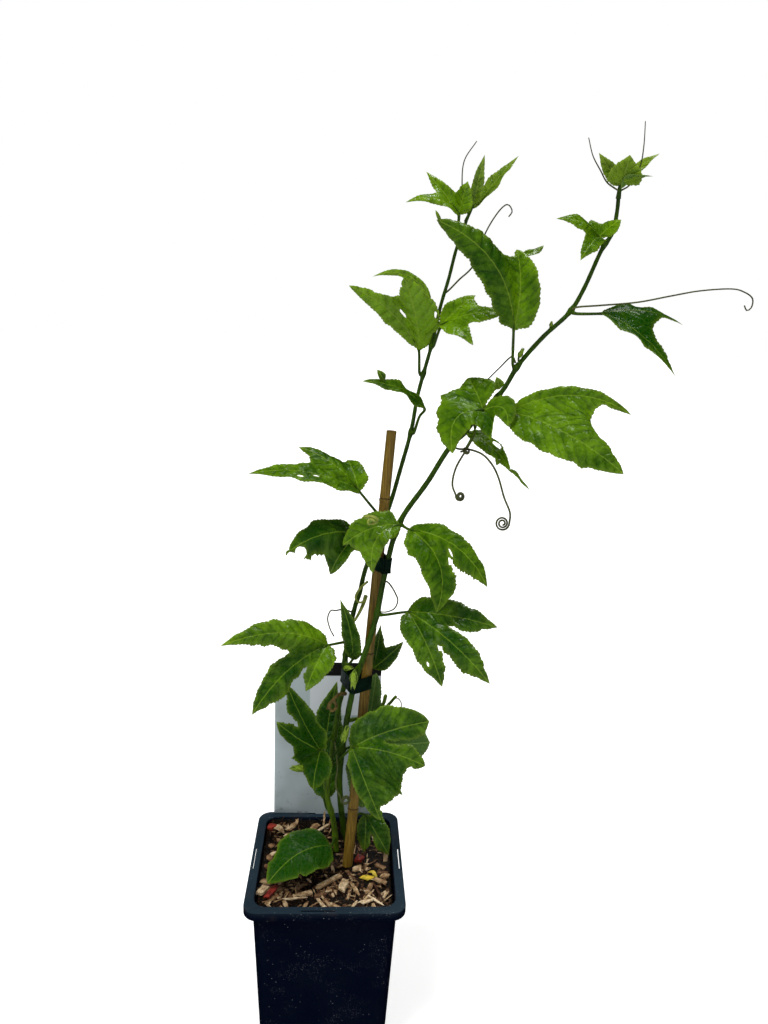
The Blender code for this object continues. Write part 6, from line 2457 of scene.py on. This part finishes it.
@dataclass(frozen=True)
class Studio:
    """The camera at the photograph's angle, soft lights, a pale floor and a white surround."""

    eye: Point = (8.0, -556.0, 580.5)
    pitch: float = 13.8
    yaw: float = 3.0
    roll: float = 2.1
    focus: float = 769.0
    picture_height: float = 1024.0
    sensor: float = 36.0
    floor: Colour = (0.83, 0.83, 0.82)
    floor_glow: float = 0.45
    ambient: float = 0.22
    surround: float = 1.0
    lamps: tuple[Lamp, ...] = (
        Lamp("key", (-0.45, -0.30, 1.0), 24.0, 2.6, False), Lamp("fill", (0.6, -1.0, 0.5), 60.0, 0.8, False),
        Lamp("back", (0.35, 0.75, 0.85), 40.0, 0.4, False), Lamp("sky", (0.30, 0.32, 1.0), 16.0, 0.9, True),
        Lamp("window", (-0.70, -0.72, 0.05), 12.0, 0.12, True))

    def camera(self) -> None:
        """Set up the camera."""
        yaw, pitch, roll = (radians(a) for a in (self.yaw, self.pitch, self.roll))
        ahead = Vector((sin(yaw) * cos(pitch), cos(yaw) * cos(pitch), -sin(pitch)))
        right = Vector((cos(yaw), -sin(yaw), 0.0))
        up = right.cross(ahead)
        across = right * cos(roll) + up * sin(roll)
        above = up * cos(roll) - right * sin(roll)
        data = bpy.data.cameras.new("view")
        data.sensor_width = self.sensor
        data.lens = self.focus / self.picture_height * self.sensor
        data.clip_start, data.clip_end = 0.01, 50.0
        camera = placed("view", data)
        turn = Matrix((across, above, -ahead)).transposed().to_4x4()
        camera.matrix_world = Matrix.Translation(Vector(self.eye) * MM) @ turn
        bpy.context.scene.camera = camera

    def light(self, lamp: Lamp) -> None:
        """Add a soft light that comes evenly from one side.

        Args:
            lamp: The lamp's values.
        """
        data = bpy.data.lights.new(lamp.name, "SUN")
        data.angle, data.energy = radians(lamp.angle), lamp.power
        made = placed(lamp.name, data)
        made.rotation_euler = Vector(lamp.source).to_track_quat("Z", "Y").to_euler()
        made.visible_glossy = lamp.shine

    def build(self) -> None:
        """Set up the camera, the lights, the floor and the surround."""
        self.camera()
        for lamp in self.lamps:
            self.light(lamp)
        verts, faces = skin([rounded_square(half, 200.0, z) for half, z in ((20000.0, -12.0), (20000.0, 0.0))])
        floor = new_object("floor", verts, faces)
        g = Graph("pale_floor")
        cloud = g.noise(g.spot(), 2.0, 2.0)
        seen = g.calc("MULTIPLY", g.node("LightPath", {}).outputs["Is Camera Ray"], self.floor_glow)
        floor.data.materials.append(g.end(Base_Color=g.paint(self.floor, (cloud, (0.80, 0.80, 0.80))),
                                          Roughness=0.6, Emission_Color=(1.0, 1.0, 1.0), Emission_Strength=seen))
        floor.visible_glossy = False
        world = bpy.context.scene.world or bpy.data.worlds.new("surround")
        bpy.context.scene.world = world
        world.use_nodes = True
        sky, glow = Tree(world.node_tree), world.node_tree.nodes["Background"].inputs
        seen = sky.node("LightPath", {}).outputs["Is Camera Ray"]
        sky.put(glow["Strength"], sky.node("MapRange", {0: seen, 3: self.ambient, 4: self.surround}))
        sky.put(glow["Color"], (1.0, 1.0, 1.0))
        world.cycles_visibility.glossy = False
        bpy.context.scene.view_settings.view_transform = "Standard"


def main() -> None:
    """Build every piece of the potted vine and its studio."""
    logging.basicConfig(level=logging.INFO, format="%(name)s: %(message)s")
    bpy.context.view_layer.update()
    pot, cane = Pot(), Cane()
    left = Stem("left", LEFT_STEM, LEFT_TENDRILS, LEFT_COILS, LEFT_BUDS, LEFT_SHOOTS, 0.8)
    right = Stem("right", RIGHT_STEM, RIGHT_TENDRILS, RIGHT_COILS, RIGHT_BUDS, RIGHT_SHOOTS, 0.1)
    for part in (pot, PottingMix(pot), cane, Tie("lower_tie", 305.0, (left, right), cane),
                 Tie("upper_tie", 404.0, (right,), cane), Label(pot)):
        part.build()
    finishes, grower = Finishes(), RodGrower()
    for part in (left, right, Foliage(LEAVES, {"left": left, "right": right}), *BUNCHES):
        part.build(finishes, grower)
    Studio().build()


if __name__ == "__main__":
    main()
